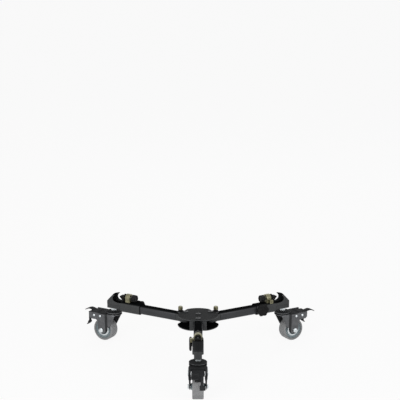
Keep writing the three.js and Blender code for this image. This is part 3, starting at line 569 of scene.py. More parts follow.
FINISHES = {
    # Powder coat on die-cast aluminium: satin, with a fine orange-peel skin and rubbed edges. Its grain is
    # about 0.3 mm, and drawn at 1.1 mm so that it shows
    # Painted shade darkens its tops
    "cast_black": finish(
        "powder_coated_cast_aluminium", "#1D1F20", ((40,), 0.3, 0.7, 1, "#2A2C2D"),
        (POWDER_GRAIN, 0.5, 0.8, 0.5, "#3A3C3E"), (rubbed_edges, 0, 1, 1, "#66686A"),
        sheen=((18,), 0.46, 0.6), relief=(POWDER_GRAIN, 0.07), painted_shade=(top_painted_shade, "#101112", 0.9, 0), IOR=1.5),
    # Black anodised extruded aluminium: satin, with faint die lines along the arm, and painted shade on its
    # top and near the hub
    "tube_black": finish(
        "black_anodised_extrusion", "#26272A", ((60,), 0.3, 0.7, 1, "#313235"),
        (DIE_LINES, 0.45, 0.75, 0.35, "#46484B"),
        sheen=(DIE_LINES, 0.36, 0.5), relief=(DIE_LINES, 0.02), painted_shade=(tube_painted_shade, "#121314", 0.9, 0),
        Metallic=0.35),
    # Pressed steel with a dark zinc plate: cloudy, a little shiny, with fine scuffs from the press; painted
    # shade darkens its tops, the fork's pressed step and the pedal
    "gunmetal_steel": finish(
        "dark_zinc_plated_pressed_steel", "#4D4E50", ((22,), 0.3, 0.7, 1, "#616264"),
        (spangle, 0.1, 0.7, 0.3, "#6F7072"),
        sheen=(SCUFFS, 0.34, 0.52), relief=(SCUFFS, 0.03), painted_shade=(pressing_painted_shade, "#151617", 0.8, 0.03),
        Metallic=0.72),
    # Blackened machined steel: dark, oily and smooth
    "dark_steel": finish(
        "black_oxide_steel", "#232426", ((9,), 0.3, 0.7, 1, "#383A3C"),
        sheen=((3, 5), 0.28, 0.42), relief=((1.2,), 0.02), Metallic=0.8),
    # Bright blue-white zinc plate: mirror-like, with a faint haze and fine handling marks
    "zinc_steel": finish(
        "bright_zinc_plated_steel", "#C9D0D3", ((6,), 0.3, 0.7, 1, "#E6EAEB"),
        sheen=((2.2, 6, 0.65), 0.16, 0.34), relief=((1.5, 4), 0.015), Metallic=1.0),
    # Machined aluminium, anodised a pale olive gold: satin, with fine tool lines across the arm
    "gold_anodised": finish(
        "olive_gold_anodised_aluminium", "#75725A", ((12,), 0.3, 0.7, 1, "#8B8870"),
        (TOOL_LINES, 0.4, 0.7, 0.4, "#605E4A"),
        sheen=(TOOL_LINES, 0.24, 0.38), relief=(TOOL_LINES, 0.03), Metallic=0.85),
    # Black moulded nylon: even and dull, with a fine spark-eroded grain. It is about 0.2 mm, and drawn at
    # 0.8 mm so that it shows
    "black_plastic": finish(
        "moulded_black_nylon", "#0C0C0D", ((14,), 0.3, 0.7, 1, "#141415"),
        sheen=(MOULD_GRAIN, 0.45, 0.6), relief=(MOULD_GRAIN, 0.04), IOR=1.53, Specular_IOR_Level=0.12),
    # Moulded black rubber: matt, with a dusty bloom in patches
    "black_rubber": finish(
        "moulded_black_rubber", "#101010", (BLOOM, 0.35, 0.7, 1, "#1A1918"),
        sheen=(BLOOM, 0.7, 0.88), relief=((1.0,), 0.05), IOR=1.52, Specular_IOR_Level=0.12),
    # Thermoplastic rubber tyre, mid grey: softly shiny, with dull and dusty patches
    "tread_rubber": finish(
        "grey_thermoplastic_rubber", "#777879", (DUST, 0.3, 0.55, 1, "#838485"),
        (DUST, 0.55, 0.75, 1, "#8E8E8D"),
        sheen=(DUST, 0.42, 0.66), relief=((1.3,), 0.05), IOR=1.5),
    # Blue-grey moulded nylon wheel centre: smooth and shiny, with faint flow marks
    "rim_plastic": finish(
        "moulded_blue_grey_nylon", "#5E6C70", (FLOW_MARKS, 0.3, 0.7, 1, "#78868A"),
        sheen=(FLOW_MARKS, 0.26, 0.38), relief=((1.4,), 0.02), IOR=1.53, Coat_Weight=0.5,
        Coat_Roughness=0.12),
    # Drawn spring wire: bright and smooth, with a grey cast
    "spring_steel": finish(
        "drawn_spring_wire", "#9FA3A6", ((3,), 0.3, 0.7, 1, "#BDC1C4"),
        sheen=((1,), 0.25, 0.4), Metallic=1.0),
}


# Wheel: a tyre on a moulded centre, with a bright ring pressed into each side

RIM_HALF = 14.5
RIM_FACE = 3
WEB_HALF = 5.5
WHEEL_HUB = 13
WHEEL_HUB_END = 8.5
WHEEL_BORE = 4.4
TREAD_THICKNESS = 7.5
TREAD_EDGE = 3.5
PARTING = 0.15
BEAD = 0.6
RING_OUTER = 20.6
RING_INNER = 17
RING_FLOOR = RIM_HALF - 0.6
RING_RISE = 2.6
RING_LIP = 1.2
RING_WALL = 0.7


def wheel_solid(half, sides=ROUND):
    """A closed profile of (radius, place), the same on each side of the wheel, turned on the axle."""
    profile = [(r, -y) for r, y in half] + [(r, y) for r, y in reversed(half)]
    return lathe("Y", profile, WHEEL_AXIS, sides)


def tyre():
    inner = WHEEL_RADIUS - TREAD_THICKNESS
    outer = WHEEL_RADIUS - PARTING
    side = (TREAD_HIGH.y - TREAD_LOW.y) / 2
    edge = arc((outer - TREAD_EDGE, side - TREAD_EDGE), TREAD_EDGE, 90, 0, 8)
    return shaded(wheel_solid([
        (inner, side - 2 * BEAD), (inner + BEAD, side - BEAD / 2), (inner + 2 * BEAD, side - BEAD / 2),
        (inner + 3 * BEAD, side - 1.5 * BEAD), (inner + 4 * BEAD, side), *edge, (outer, 4 * PARTING),
        (WHEEL_RADIUS, PARTING)], 2 * ROUND), 50)


def wheel_centre():
    """The rim, a dished web, and the hub with its bearing's end."""
    outer = WHEEL_RADIUS - TREAD_THICKNESS - SEAT_GAP
    face = outer - RIM_FACE
    return shaded(wheel_solid([
        (WHEEL_BORE, CORE_END - 1), (WHEEL_BORE + 0.8, CORE_END), (WHEEL_HUB_END - 0.6, CORE_END),
        (WHEEL_HUB_END, CORE_END - 0.6), (WHEEL_HUB, RIM_HALF), (WHEEL_HUB + 0.6, RIM_HALF - 1),
        (WHEEL_HUB + 0.8, WEB_HALF + 1), (WHEEL_HUB + 1.8, WEB_HALF), (RING_OUTER - 1, WEB_HALF),
        (RING_OUTER + 0.4, WEB_HALF + 1.4), (RING_OUTER + 1, RIM_HALF - 2.4), (face, RIM_HALF - 1.6),
        (face + 0.6, RIM_HALF - 0.4), (face + 1.2, RIM_HALF), (outer - 0.4, RIM_HALF),
        (outer, RIM_HALF - 0.4)]))


def wheel_rings():
    """The bright bead round the hub in each side of the wheel."""
    turns = [radians(a) for a in range(0, 91, 9)]
    width = RING_OUTER - RING_INNER
    bead = [(RING_INNER + width * cos(t), RING_FLOOR + RING_RISE * sin(t)) for t in turns]
    wall = [(r - RING_WALL, y - RING_WALL) for r, y in reversed(bead)]
    lip = RING_OUTER + RING_LIP
    profile = [(lip, RING_FLOOR - RING_WALL), (lip, RING_FLOOR), *bead, *wall]
    rings = [lathe("Y", [(r, side * y) for r, y in profile], WHEEL_AXIS) for side in (1, -1)]
    return shaded(grouped(*rings), 40)


AXLE = 8
AXLE_HEAD = 13
AXLE_HEAD_RISE = 4.5
AXLE_CROWN = 4.4
AXLE_PITCH = 1.25
WASHER = 1


def axle():
    """The wheel bolt: a hexagon head and washer on one side, and a nut with the bolt's end on the other."""
    inner = AXLE_END - AXLE_HEAD_RISE
    under = inner + WASHER
    top = 0.5 - AXLE_END
    shank = rod("Y", AXLE, -inner, AXLE_END - 0.2, WHEEL_AXIS, 0.7)
    washers = twins(inner, under, lambda low, high: rod("Y", AXLE_HEAD + 2, low, high, WHEEL_AXIS, 0.2))
    head = hex_head("Y", AXLE_HEAD, top, -under, WHEEL_AXIS)
    crown = lathe("Y", [(0, -under), (AXLE_CROWN + 0.2, -under), (AXLE_CROWN + 0.2, top),
                        *dome(0.5, AXLE_CROWN, top, -1)], WHEEL_AXIS, SMALL_ROUND)
    nut = hex_head("Y", AXLE_HEAD, under, AXLE_END - 1.2, WHEEL_AXIS)
    crest = thread(AXLE, AXLE_PITCH, AXLE_END - 1.6, AXLE_END - 0.8, "Y", WHEEL_AXIS)
    return shaded(grouped(shank, *washers, head, crown, nut, crest), 30)


# Fork: one pressing, whose two cheeks stand under a crown, draw in towards the front and end in a bracket.
# Places along it are measured back from the swivel's axis

CHEEK = 2.8
CROWN = 3.3
RACE_RISE = 3
CROWN_TOP = FORK_HIGH.z - RACE_RISE
CROWN_HALF = 29
AXLE_HALF = 26
CROWN_BACK = 46
FRONT = -19
WEB_FOOT = (4, 52)
LEG_BACK = 48
LEG_LEAD = 30.5
LEG_RADIUS = 17.5
LEG_LOW = WHEEL_RADIUS - 10
BRACKET_END = FORK_HIGH.x - SWIVEL
BRACKET_LOW = CROWN_TOP - 24
BRACKET_NOSE = 6
BRACKET_WALL = 3.2
FLANGE_WIDTH = 7.4
LIP_DROP = 4
BEND_RADIUS = 6
DISC = 27.5
RACE = 21
SHAFT_HOLE = 6.4
PIN = 6
PIN_BORE = 6.8
PIN_HEAD_RISE = 1.8
RIVET = 4
RIVET_SINK = 1.5
RIVET_TRAIL = 37.5
RIVET_Z = CROWN_TOP - 10
PRESS_LINE = 19.5
PRESS_STEP = 2.2
PRESS_WIDTH = 9
CURL_REACH = 10
CURL = 0.03
FLANK_STEPS = 14
SLICES = 90


def cheek_outline():
    """The cheek from its side, in (x, z)."""
    points = [(FRONT, CROWN_TOP), WEB_FOOT]
    points += arc((LEG_LEAD, LEG_LOW + LEG_RADIUS), LEG_RADIUS, 180, 360, 24)
    points += [(LEG_BACK, BRACKET_LOW - BRACKET_NOSE), (LEG_BACK + BRACKET_NOSE, BRACKET_LOW),
               (BRACKET_END - BRACKET_NOSE, BRACKET_LOW), (BRACKET_END, BRACKET_LOW + BRACKET_NOSE),
               (BRACKET_END, CROWN_TOP)]
    return [(SWIVEL + x, z) for x, z in points]


def drawn_in(trail, z):
    """How far the cheek's side stands inside its flat panel: a pressed step, then the front edge's curl."""
    share = min(1, max(0, (PRESS_LINE - trail) / PRESS_WIDTH))
    edge = FRONT + (WEB_FOOT[0] - FRONT) * (CROWN_TOP - z) / (CROWN_TOP - WEB_FOOT[1])
    curl = CURL * min(CURL_REACH, max(0, CURL_REACH - trail + edge)) ** 2
    return PRESS_STEP * share * share * (3 - 2 * share) + (curl if trail < PRESS_LINE else 0)


def half_at(z):
    """Half the fork's width at a height, over its flat panels."""
    return AXLE_HALF + (CROWN_HALF - AXLE_HALF) / (CROWN_TOP - WHEEL_RADIUS) * (z - WHEEL_RADIUS)


def cheek_channel():
    """The two cheeks and their crown as a channel, its slices drawn in towards the front."""
    bottom = WHEEL_RADIUS - 14
    bend = half_at(CROWN_TOP) - BEND_RADIUS
    rises = [bottom + (CROWN_TOP - BEND_RADIUS - bottom) * i / FLANK_STEPS for i in range(FLANK_STEPS)]
    outer = [(half_at(z), z) for z in rises] + arc((bend, CROWN_TOP - BEND_RADIUS), BEND_RADIUS, 0, 90)
    inner_radius = BEND_RADIUS - CHEEK
    inner = arc((bend, CROWN_TOP - CROWN - inner_radius), inner_radius, 90, 0)
    inner += [(half_at(z) - CHEEK, z) for z in reversed(rises)]
    left = [(-y, z) for y, z in reversed(outer)] + [(-y, z) for y, z in reversed(inner)]
    section = outer + [(0, CROWN_TOP)] + left + inner
    count = len(section)
    vertices, faces = [], []
    for k in range(SLICES + 1):
        trail = FRONT - 1 + (BRACKET_END + 2 - FRONT) * k / SLICES
        vertices += [(SWIVEL + trail, y * (1 - drawn_in(trail, z) / CROWN_HALF), z) for y, z in section]
    for start in range(0, SLICES * count, count):
        for i in range(count):
            j = (i + 1) % count
            faces.append((start + i, start + j, start + count + j, start + count + i))
    faces += [tuple(range(count)), tuple(range(SLICES * count, (SLICES + 1) * count))]
    return mesh_object("channel", vertices, faces)


def fork():
    centre = (SWIVEL, 0)
    back, end = SWIVEL + CROWN_BACK, SWIVEL + BRACKET_END
    inside = CROWN_HALF - BRACKET_WALL
    flange = CROWN_HALF - FLANGE_WIDTH
    under, rim = CROWN_TOP - CROWN, CROWN_TOP - 0.4
    channel = common(cheek_channel(),
                     prism("Y", cheek_outline(), -CROWN_HALF - OVERRUN, CROWN_HALF + OVERRUN))
    channel = cut(channel, box(back, end + OVERRUN, -inside, inside, CROWN_TOP - BEND_RADIUS - 1,
                               CROWN_TOP + OVERRUN))
    crown = lathe("Z", [(0, under), (DISC - 0.6, under), (DISC, under + 0.6), (DISC, CROWN_TOP - 0.8),
                        (DISC - 0.8, CROWN_TOP), (RACE, CROWN_TOP), (RACE - 0.3, FORK_HIGH.z - 0.6),
                        (RACE - 0.9, FORK_HIGH.z), (0, FORK_HIGH.z)], centre)
    end_flanges = twins(flange, CROWN_HALF - 1, lambda low, high: box(
        end - CHEEK, end, low, high, BRACKET_LOW + BRACKET_NOSE, CROWN_TOP - 1))
    top_rims = twins(flange, CROWN_HALF - 2, lambda low, high: box(back - CHEEK, end, low, high, under, rim))
    back_lip = box(back - CHEEK, back, CHEEK - CROWN_HALF, CROWN_HALF - CHEEK, under - LIP_DROP, rim)
    return shaded(casting(
        [channel, crown, *end_flanges, *top_rims, back_lip],
        [rod("Z", 2 * SHAFT_HOLE, CROWN_TOP - 10, CROWN_TOP + 10, centre),
         bore("Y", 2 * WHEEL_BORE, -CROWN_HALF, CROWN_HALF, WHEEL_AXIS),
         bore("Y", PIN_BORE, -CROWN_HALF, CROWN_HALF, PEDAL_AXIS)],
        PRESSED_VOXEL), CAST_ANGLE)


def rivets(rise, reach, centre):
    """Domed rivet heads that stand out along Y, one on each side."""
    heads = []
    for side in (1, -1):
        start = side * reach
        foot = start - side * RIVET_SINK
        heads.append(lathe("Y", [(0, foot), (RIVET, foot), (RIVET, start)] + dome(rise, RIVET, start, side),
                           centre, SMALL_ROUND))
    return heads


def fork_rivets():
    centre = (SWIVEL + RIVET_TRAIL, RIVET_Z)
    return shaded(grouped(*rivets(FORK_HIGH.y - CROWN_HALF, CROWN_HALF - 0.4, centre)))


def pedal_pin():
    under = PIN_HIGH.y - PIN_HEAD_RISE
    bar = rod("Y", PIN, -under, under, PEDAL_AXIS)
    return shaded(grouped(bar, *rivets(PIN_HEAD_RISE, under, PEDAL_AXIS)))


# Brake pedal: a wavy pressed plate on a pin, with its shoe below and a release tab behind

PEDAL_HALF = 19.5
PEDAL = 2.6
HALF_LAP = 1
TRAVEL = radians(10)
WAVE = [(50, -3), (59, 0), (76, -3)]
LONG_END = [(99, 1), (116, -5)]
SHORT_END = [(89, -4)]
BOSS = 8
SHOE_HALF = 9
SHOE = 4.5
SHOE_GAP = 0.6
SHOE_ANGLES = (radians(42), radians(55))
LEG = 5
APRON = 86
APRON_HALF = 16
APRON_DEPTH = 9
APRON_CORNER = 3
TAB = (8, 16)
TAB_LAP = 8
TAB_THICKNESS = 5
TAB_TOE = 6
TAB_LENGTH = 42.5
TOE = (5, 22)
TOE_HEIGHT = 12
GRIP = 1.4
GRIP_PLACE = (93, -0.6)
GRIP_COUNT = 4
GRIP_STEP = (3.4, 0, 0.15)


def wavy_strip(places, y0, y1):
    top = curve_through([(SWIVEL + t, CROWN_TOP + rise) for t, rise in places], 14)
    return prism("Y", top + [(x, z - PEDAL) for x, z in reversed(top)], y0, y1)


def shoe_place(angle, reach):
    """A point round the wheel, turned back about the pin to where it is at rest."""
    x = WHEEL_AXIS[0] + reach * cos(angle) - PEDAL_AXIS[0]
    z = WHEEL_AXIS[1] + reach * sin(angle) - PEDAL_AXIS[1]
    return (
        PEDAL_AXIS[0] + x * cos(TRAVEL) - z * sin(TRAVEL),
        PEDAL_AXIS[1] + x * sin(TRAVEL) + z * cos(TRAVEL),
    )


def brake_shoe():
    near = WHEEL_RADIUS + SHOE_GAP
    low, high = SHOE_ANGLES
    steps = [low + (high - low) * i / 8 for i in range(9)]
    outline = [shoe_place(a, near) for a in steps] + [shoe_place(a, near + SHOE) for a in reversed(steps)]
    return prism("Y", outline, -SHOE_HALF, SHOE_HALF)


def shoe_leg():
    foot = Vector(shoe_place(sum(SHOE_ANGLES) / 2, WHEEL_RADIUS + SHOE_GAP + SHOE / 2))
    pin = Vector(PEDAL_AXIS)
    across = (pin - foot).normalized().orthogonal() * LEG / 2
    return prism("Y", [foot - across, pin - across, pin + across, foot + across], -SHOE_HALF, SHOE_HALF)


def release_tab(face, top, low, sides):
    """The tab runs straight down, then its toe turns out."""
    inner = [(face, top), (face, low + TAB_TOE), (face + TAB_TOE, low)]
    return prism("Y", inner + [(x + TAB_THICKNESS, z) for x, z in reversed(inner)], *sides)


def brake_pedal():
    face = SWIVEL + APRON
    top = CROWN_TOP + SHORT_END[0][1] - PEDAL / 2
    tab_top = top - APRON_DEPTH + TAB_LAP
    tab_low = tab_top - TAB_LENGTH
    apron = rounded_box(-APRON_HALF, APRON_HALF, top - APRON_DEPTH, top, APRON_CORNER)
    body = casting([
        wavy_strip(WAVE + LONG_END, -PEDAL_HALF, HALF_LAP),
        wavy_strip(WAVE + SHORT_END, 0, PEDAL_HALF),
        rod("Y", 2 * BOSS, -PEDAL_HALF, PEDAL_HALF, PEDAL_AXIS),
        brake_shoe(),
        shoe_leg(),
        prism("X", apron, face, face + PEDAL),
        release_tab(face, tab_top, tab_low, TAB),
        release_tab(face, tab_low + TOE_HEIGHT, tab_low, TOE),
    ], [bore("Y", PIN_BORE, -PEDAL_HALF, PEDAL_HALF, PEDAL_AXIS)], PEDAL_VOXEL)
    first = (SWIVEL + GRIP_PLACE[0], CROWN_TOP + GRIP_PLACE[1])
    ridge = rod("Y", GRIP, 2 - PEDAL_HALF, -2, first, GRIP / 4, 12)
    return shaded(grouped(body, grown(ROW, Piece=ridge, Count=GRIP_COUNT, Step=GRIP_STEP)), CAST_ANGLE)


# Caster stem: its disc over the crown, its riveted head under it, and its thread up into the neck

DISC_EDGE = 1.2
STEM = 5
STEM_PITCH = 1.5
SHAFT = 6
HEAD = 12
HEAD_RISE = 3.2
STEM_NUT = 17


def caster_stem():
    low = FORK_HIGH.z + SEAT_GAP
    high = NUT_LOW.z - SEAT_GAP
    head = CROWN_TOP - CROWN - SEAT_GAP
    foot = head - HEAD_RISE
    seat = NUT_HIGH.x - SWIVEL
    turned = lathe("Z", [
        (0, foot), (HEAD - 2.4, foot), (HEAD - 0.8, foot + 0.7), (HEAD, foot + 1.8), (HEAD, head),
        (SHAFT, head), (SHAFT, low), (DISC - 2.2, low), (DISC - 0.8, low + 0.3), (DISC, low + DISC_EDGE),
        (DISC, high - DISC_EDGE - 0.6), (DISC - 0.7, high - 1.1), (DISC - 2, high - 0.7),
        (seat + 3, high - 0.6), (seat + 2, high), (STEM, high), (STEM, STEM_HIGH.z - 1),
        (STEM - 1, STEM_HIGH.z), (0, STEM_HIGH.z)], (SWIVEL, 0))
    crest = thread(2 * STEM, STEM_PITCH, NUT_HIGH.z - 4, STEM_HIGH.z - 2, "Z", (SWIVEL, 0))
    return shaded(grouped(turned, crest), 35)


def stem_nut():
    nut = hex_head("Z", STEM_NUT, NUT_LOW.z, NUT_HIGH.z, (SWIVEL, 0))
    return shaded(cut(nut, bore("Z", 2 * (STEM + BORE_GAP), NUT_LOW.z, NUT_HIGH.z, (SWIVEL, 0))), 25)


# Arm: an extruded tube on a cast root, which turns on its bolt

TUBE_CORNER = 7
TUBE_WALL = 2
SPIGOT = 26
PIVOT_HOLE = 5.4
PLUNGER_REACH = PIVOT + 20
PLUNGER_BORE = 4.1
PLUNGER_BORE_DEPTH = 6


def square_section(size, corner):
    half = size / 2
    return rounded_box(-half, half, ARM_HEIGHT - half, ARM_HEIGHT + half, corner)


def arm_tube():
    start, end = TUBE_LOW.x, TUBE_HIGH.x
    shell = rounded(prism("X", square_section(TUBE_SIZE, TUBE_CORNER), start, end), 0.5, 2, 60)
    inside = square_section(TUBE_SIZE - 2 * TUBE_WALL, TUBE_CORNER - TUBE_WALL)
    return shaded(cut(shell, prism("X", inside, start - OVERRUN, end + OVERRUN)))


def arm_root(folds):
    half = TUBE_SIZE / 2
    low = ARM_HEIGHT - half
    shoulder = TUBE_LOW.x - SEAT_GAP
    spigot = TUBE_SIZE - 2 * TUBE_WALL - 2 * BORE_GAP
    holes = [bore("Z", 2 * PIVOT_HOLE, low, ARM_TOP, (PIVOT, 0))]
    if folds:
        holes.append(rod("Z", 2 * PLUNGER_BORE, ARM_TOP - PLUNGER_BORE_DEPTH, ARM_TOP + OVERRUN,
                         (PLUNGER_REACH, 0)))
    return shaded(casting([
        rod("Z", TUBE_SIZE, low, ARM_TOP, (PIVOT, 0), 0.8, ROUND),
        box(PIVOT, (PIVOT + shoulder) / 2, -half, half, low, ARM_TOP),
        prism("X", square_section(TUBE_SIZE, TUBE_CORNER), PIVOT, shoulder),
        prism("X", square_section(spigot, TUBE_CORNER - TUBE_WALL - BORE_GAP), PIVOT, TUBE_LOW.x + SPIGOT),
    ], holes), CAST_ANGLE)


def capped_bolt(low, high, shank, head, rise, socket, centre):
    """A bolt with a domed cap at each end, and a hexagon socket in its top. Shank and head are radii."""
    crown = rise * 0.55
    profile = [(0, low), (head * 0.62, low), (head, low + rise * 0.6), (head, low + rise),
               (shank, low + rise), (shank, high - rise), (head, high - rise), (head, high - crown)]
    profile += [(head * cos(a), high - crown + crown * sin(a)) for a in map(radians, range(15, 90, 15))]
    body = lathe("Z", profile + [(0, high)], centre, SMALL_ROUND)
    return shaded(cut(body, prism("Z", hexagon(socket, centre), high - rise * 0.8, high + OVERRUN)), 25)


def root_bolt():
    return capped_bolt(BOLT_LOW.z, BOLT_HIGH.z, shank=5, head=8.5, rise=3, socket=6, centre=(PIVOT, 0))


# Slider: a sleeve on the tube, a neck over the caster, and the cup for the tripod's foot with its leaning lip

SLEEVE = SLIDER_HIGH.y * 2
SLEEVE_HALF = SLEEVE / 2
SLEEVE_CORNER = 8
SLEEVE_START = SLIDER_LOW.x
SLEEVE_END = SLEEVE_START + 74
BORE_END = SLEEVE_END - 4
NECK_HALF = 12
NECK_LOW = NUT_HIGH.z + BORE_GAP
NECK_TOP = ARM_HEIGHT + 5
FLOOR = NECK_TOP + 4.5
RIM_TOP = FLOOR + 4
RIM_WALL = 4
TRAY_START = SWIVEL - 39
LIP_TOP = SLIDER_HIGH.z
LIP_BULGE = 25
LIP_LEAN = 24.5
LIP_WALL = 4
LIP_BLEND = 4
LIP_STEPS = 24
LIP_SHOULDER = FLOOR + 13.5
LIP_CENTRE = SLIDER_HIGH.x - LIP_BULGE
LIP_SLOPE = LIP_LEAN / (LIP_TOP - RIM_TOP)
WING_START = SWIVEL - 31
WING_HOLLOW = 16
WING_STEPS = 14
LOCK_AXIS = (SLEEVE_START + 19.5, ARM_HEIGHT)
LOCK_BOSS = 8.5
LOCK_BORE = 6.8
LOCK_RISE = 1


def lip_shield():
    """The lip from its end, in (y, z): the sleeve's width above, narrowing down to the neck."""
    side = [(SLEEVE_HALF, LIP_TOP + OVERRUN), (SLEEVE_HALF, LIP_SHOULDER), (NECK_HALF, NECK_TOP),
            (NECK_HALF, NECK_TOP - 1)]
    return [(-y, z) for y, z in side] + side[::-1]


def leaned(z):
    """How far the lip has leant in at a height: none below the rim, and straight in above a short bend."""
    rise = z - RIM_TOP
    if abs(rise) < LIP_BLEND:
        return LIP_SLOPE * (rise + LIP_BLEND) ** 2 / (4 * LIP_BLEND)
    return max(0, rise * LIP_SLOPE)


def lip():
    """The outer half of a round wall, which bends over at the rim and leans in above the foot."""
    heights = [NECK_TOP - 1 + (LIP_TOP - NECK_TOP + 1) * i / LIP_STEPS for i in range(LIP_STEPS + 1)]
    profile = [(LIP_BULGE, z) for z in heights] + [(LIP_BULGE - LIP_WALL, z) for z in reversed(heights)]
    wall = lathe("Z", profile, (LIP_CENTRE, 0), 2 * ROUND)
    strip = common(wall, prism("X", lip_shield(), LIP_CENTRE, SLIDER_HIGH.x + OVERRUN))
    for vertex in strip.data.vertices:
        vertex.co.x -= leaned(vertex.co.z)
    return strip


def round_ended(start, half, inset, low, high):
    """A block with two straight sides, closed by the lip's round end."""
    radius = LIP_BULGE - inset
    turn = degrees(asin(half / radius))
    outline = arc((LIP_CENTRE, 0), radius, -turn, turn, 24) + [(start, half), (start, -half)]
    return prism("Z", outline, low, high)


def cup_wings():
    """The wings' tops sweep from the lip's top down to the rim in a hollow curve."""
    foot = LIP_CENTRE + sqrt(LIP_BULGE ** 2 - SLEEVE_HALF ** 2) - LIP_WALL / 2
    start, control, end = (Vector(p) for p in (
        (foot - LIP_LEAN, LIP_TOP), (foot - LIP_LEAN + WING_HOLLOW, RIM_TOP), (WING_START, RIM_TOP)))
    shares = [i / WING_STEPS for i in range(WING_STEPS + 1)]
    sweep = [(1 - t) ** 2 * start + 2 * t * (1 - t) * control + t * t * end for t in shares]
    outline = [(WING_START, NECK_TOP), (foot, NECK_TOP), (foot, RIM_TOP)] + sweep
    return twins(SLEEVE_HALF - LIP_WALL, SLEEVE_HALF, partial(prism, "Y", outline))


def slider():
    boss = -SLEEVE_HALF - LOCK_RISE
    return shaded(casting([
        prism("X", square_section(SLEEVE, SLEEVE_CORNER), SLEEVE_START, SLEEVE_END),
        round_ended(BORE_END, NECK_HALF, 0, NECK_LOW, NECK_TOP),
        cut(round_ended(TRAY_START, SLEEVE_HALF, 0, NECK_TOP - 1, RIM_TOP),
            round_ended(TRAY_START, SLEEVE_HALF - RIM_WALL, RIM_WALL, FLOOR, RIM_TOP + OVERRUN)),
        lip(),
        *cup_wings(),
        rod("Y", 2 * LOCK_BOSS, boss, 1.3 - SLEEVE_HALF, LOCK_AXIS),
    ], [
        prism("X", square_section(TUBE_SIZE + 2 * BORE_GAP, TUBE_CORNER + BORE_GAP), SLEEVE_START - OVERRUN,
              BORE_END),
        rod("Y", LOCK_BORE, boss - OVERRUN, 5 - SLEEVE_HALF, LOCK_AXIS),
        rod("Z", 2 * (STEM + BORE_GAP), NECK_LOW - OVERRUN, STEM_HIGH.z + SEAT_GAP, (SWIVEL, 0)),
    ], passes=3), CAST_ANGLE)


# Star knob that locks the slider

STAR_LOBES = 6
STAR_DEPTH = 3
STAR = 8
STAR_INNER = KNOB_LOW.y + STAR
STAR_SEAT = STAR_INNER + 0.8
STAR_HUB = 7.5
STUD = 6


def lobed(lobes, depth, rim):
    """Draws a radius in between lobes, the more the nearer it is to the rim."""
    def reshape(radius, angle):
        return radius - depth * (radius / rim) ** 2 * (1 - cos(lobes * angle)) / 2
    return reshape


def lock_knob():
    rim = (KNOB_HIGH.x - KNOB_LOW.x) / 2
    face = [(0, 2), (0.3, 2), (0.34, 1.7), (0.5, 0.4), (0.68, 0), (0.84, 0.4), (0.95, 1.6), (1, 3.4)]
    back = [(1, 2.4), (0.97, 0.9), (0.9, 0.2), (0.78, 0)]
    profile = [(rim * share, KNOB_LOW.y + depth) for share, depth in face]
    profile += [(rim * share, STAR_INNER - depth) for share, depth in back]
    profile += [(STAR_HUB + 0.6, STAR_INNER), (STAR_HUB, STAR_INNER + 0.3), (STAR_HUB, STAR_SEAT - 0.2),
                (STAR_HUB - 0.2, STAR_SEAT), (0, STAR_SEAT)]
    return shaded(lathe("Y", profile, LOCK_AXIS, 2 * ROUND, lobed(STAR_LOBES, STAR_DEPTH, rim)), 40)


def lock_stud():
    bar = rod("Y", STUD, STAR_INNER, KNOB_HIGH.y, LOCK_AXIS, 0.6)
    return shaded(grouped(bar, thread(STUD, 1, STAR_INNER + 1, KNOB_HIGH.y - 1, "Y", LOCK_AXIS)))


# Foot clamp: a gold barrel with a lug, a threaded screw, a ribbed knob and a slanted pad

BARREL = 13
BARREL_GROOVE = 0.7
CLAMP_FOOT = 11
LUG = 12
LUG_HOLE = 4
LUG_HOLE_DEPTH = 5
CLAMP_SCREW = 4
CLAMP_PITCH = 2
CLAMP_LOBES = 8
CLAMP_LOBE_DEPTH = 1.1
FLANGE = 11
FLANGE_THICKNESS = 3.5
PAD_HALF = 10
PAD_DROP = 10
PAD_RISE = 4
PAD_EDGE = 3
PAD_FOOT = 4
PAD_RIBS = 5


def clamp_block():
    start, end, low = BLOCK_LOW.x, BLOCK_HIGH.x, BLOCK_LOW.z
    waist = BARREL - BARREL_GROOVE
    lug_centre = (end - LUG / 2, low + LUG / 2)
    return shaded(casting([
        lathe("X", [(0, start), (BARREL - 1, start), (BARREL, start + 1), (BARREL, start + 4.4),
                    (waist, start + 5), (waist, start + 6), (BARREL, start + 6.6), (BARREL, end - 1),
                    (BARREL - 1, end), (0, end)], CLAMP_AXIS),
        box(start, end, -CLAMP_FOOT, CLAMP_FOOT, low, CLAMP_AXIS[1]),
        box(end - LUG, end, BLOCK_LOW.y, 0, low, low + LUG),
    ], [
        bore("X", 2 * (CLAMP_SCREW + BORE_GAP), start, end, CLAMP_AXIS),
        rod("Y", LUG_HOLE, BLOCK_LOW.y - OVERRUN, BLOCK_LOW.y + LUG_HOLE_DEPTH, lug_centre),
    ], MILLED_VOXEL), 50)


def clamp_screw():
    start, end = SCREW_LOW.x, SCREW_HIGH.x
    bar = rod("X", 2 * CLAMP_SCREW, start, end, CLAMP_AXIS, 0.8)
    return shaded(grouped(bar, thread(2 * CLAMP_SCREW, CLAMP_PITCH, start + 2, end - 2, "X", CLAMP_AXIS)))


def clamp_knob():
    start, end = CLAMP_KNOB_LOW.x, CLAMP_KNOB_HIGH.x
    rim = (CLAMP_KNOB_HIGH.z - CLAMP_KNOB_LOW.z) / 2
    hole = CLAMP_SCREW + 0.6
    profile = [
        (0, start + 1.2), (rim * 0.5, start + 1.2), (rim * 0.6, start + 0.4), (rim * 0.8, start),
        (rim * 0.93, start + 0.6), (rim, start + 2), (rim, end - 2), (rim * 0.93, end - 0.6),
        (rim * 0.8, end), (CLAMP_SCREW + 2, end), (hole, end - 0.6), (hole, start + 6), (0, start + 6)]
    return shaded(lathe("X", profile, CLAMP_AXIS, ROUND, lobed(CLAMP_LOBES, CLAMP_LOBE_DEPTH, rim)), 40)


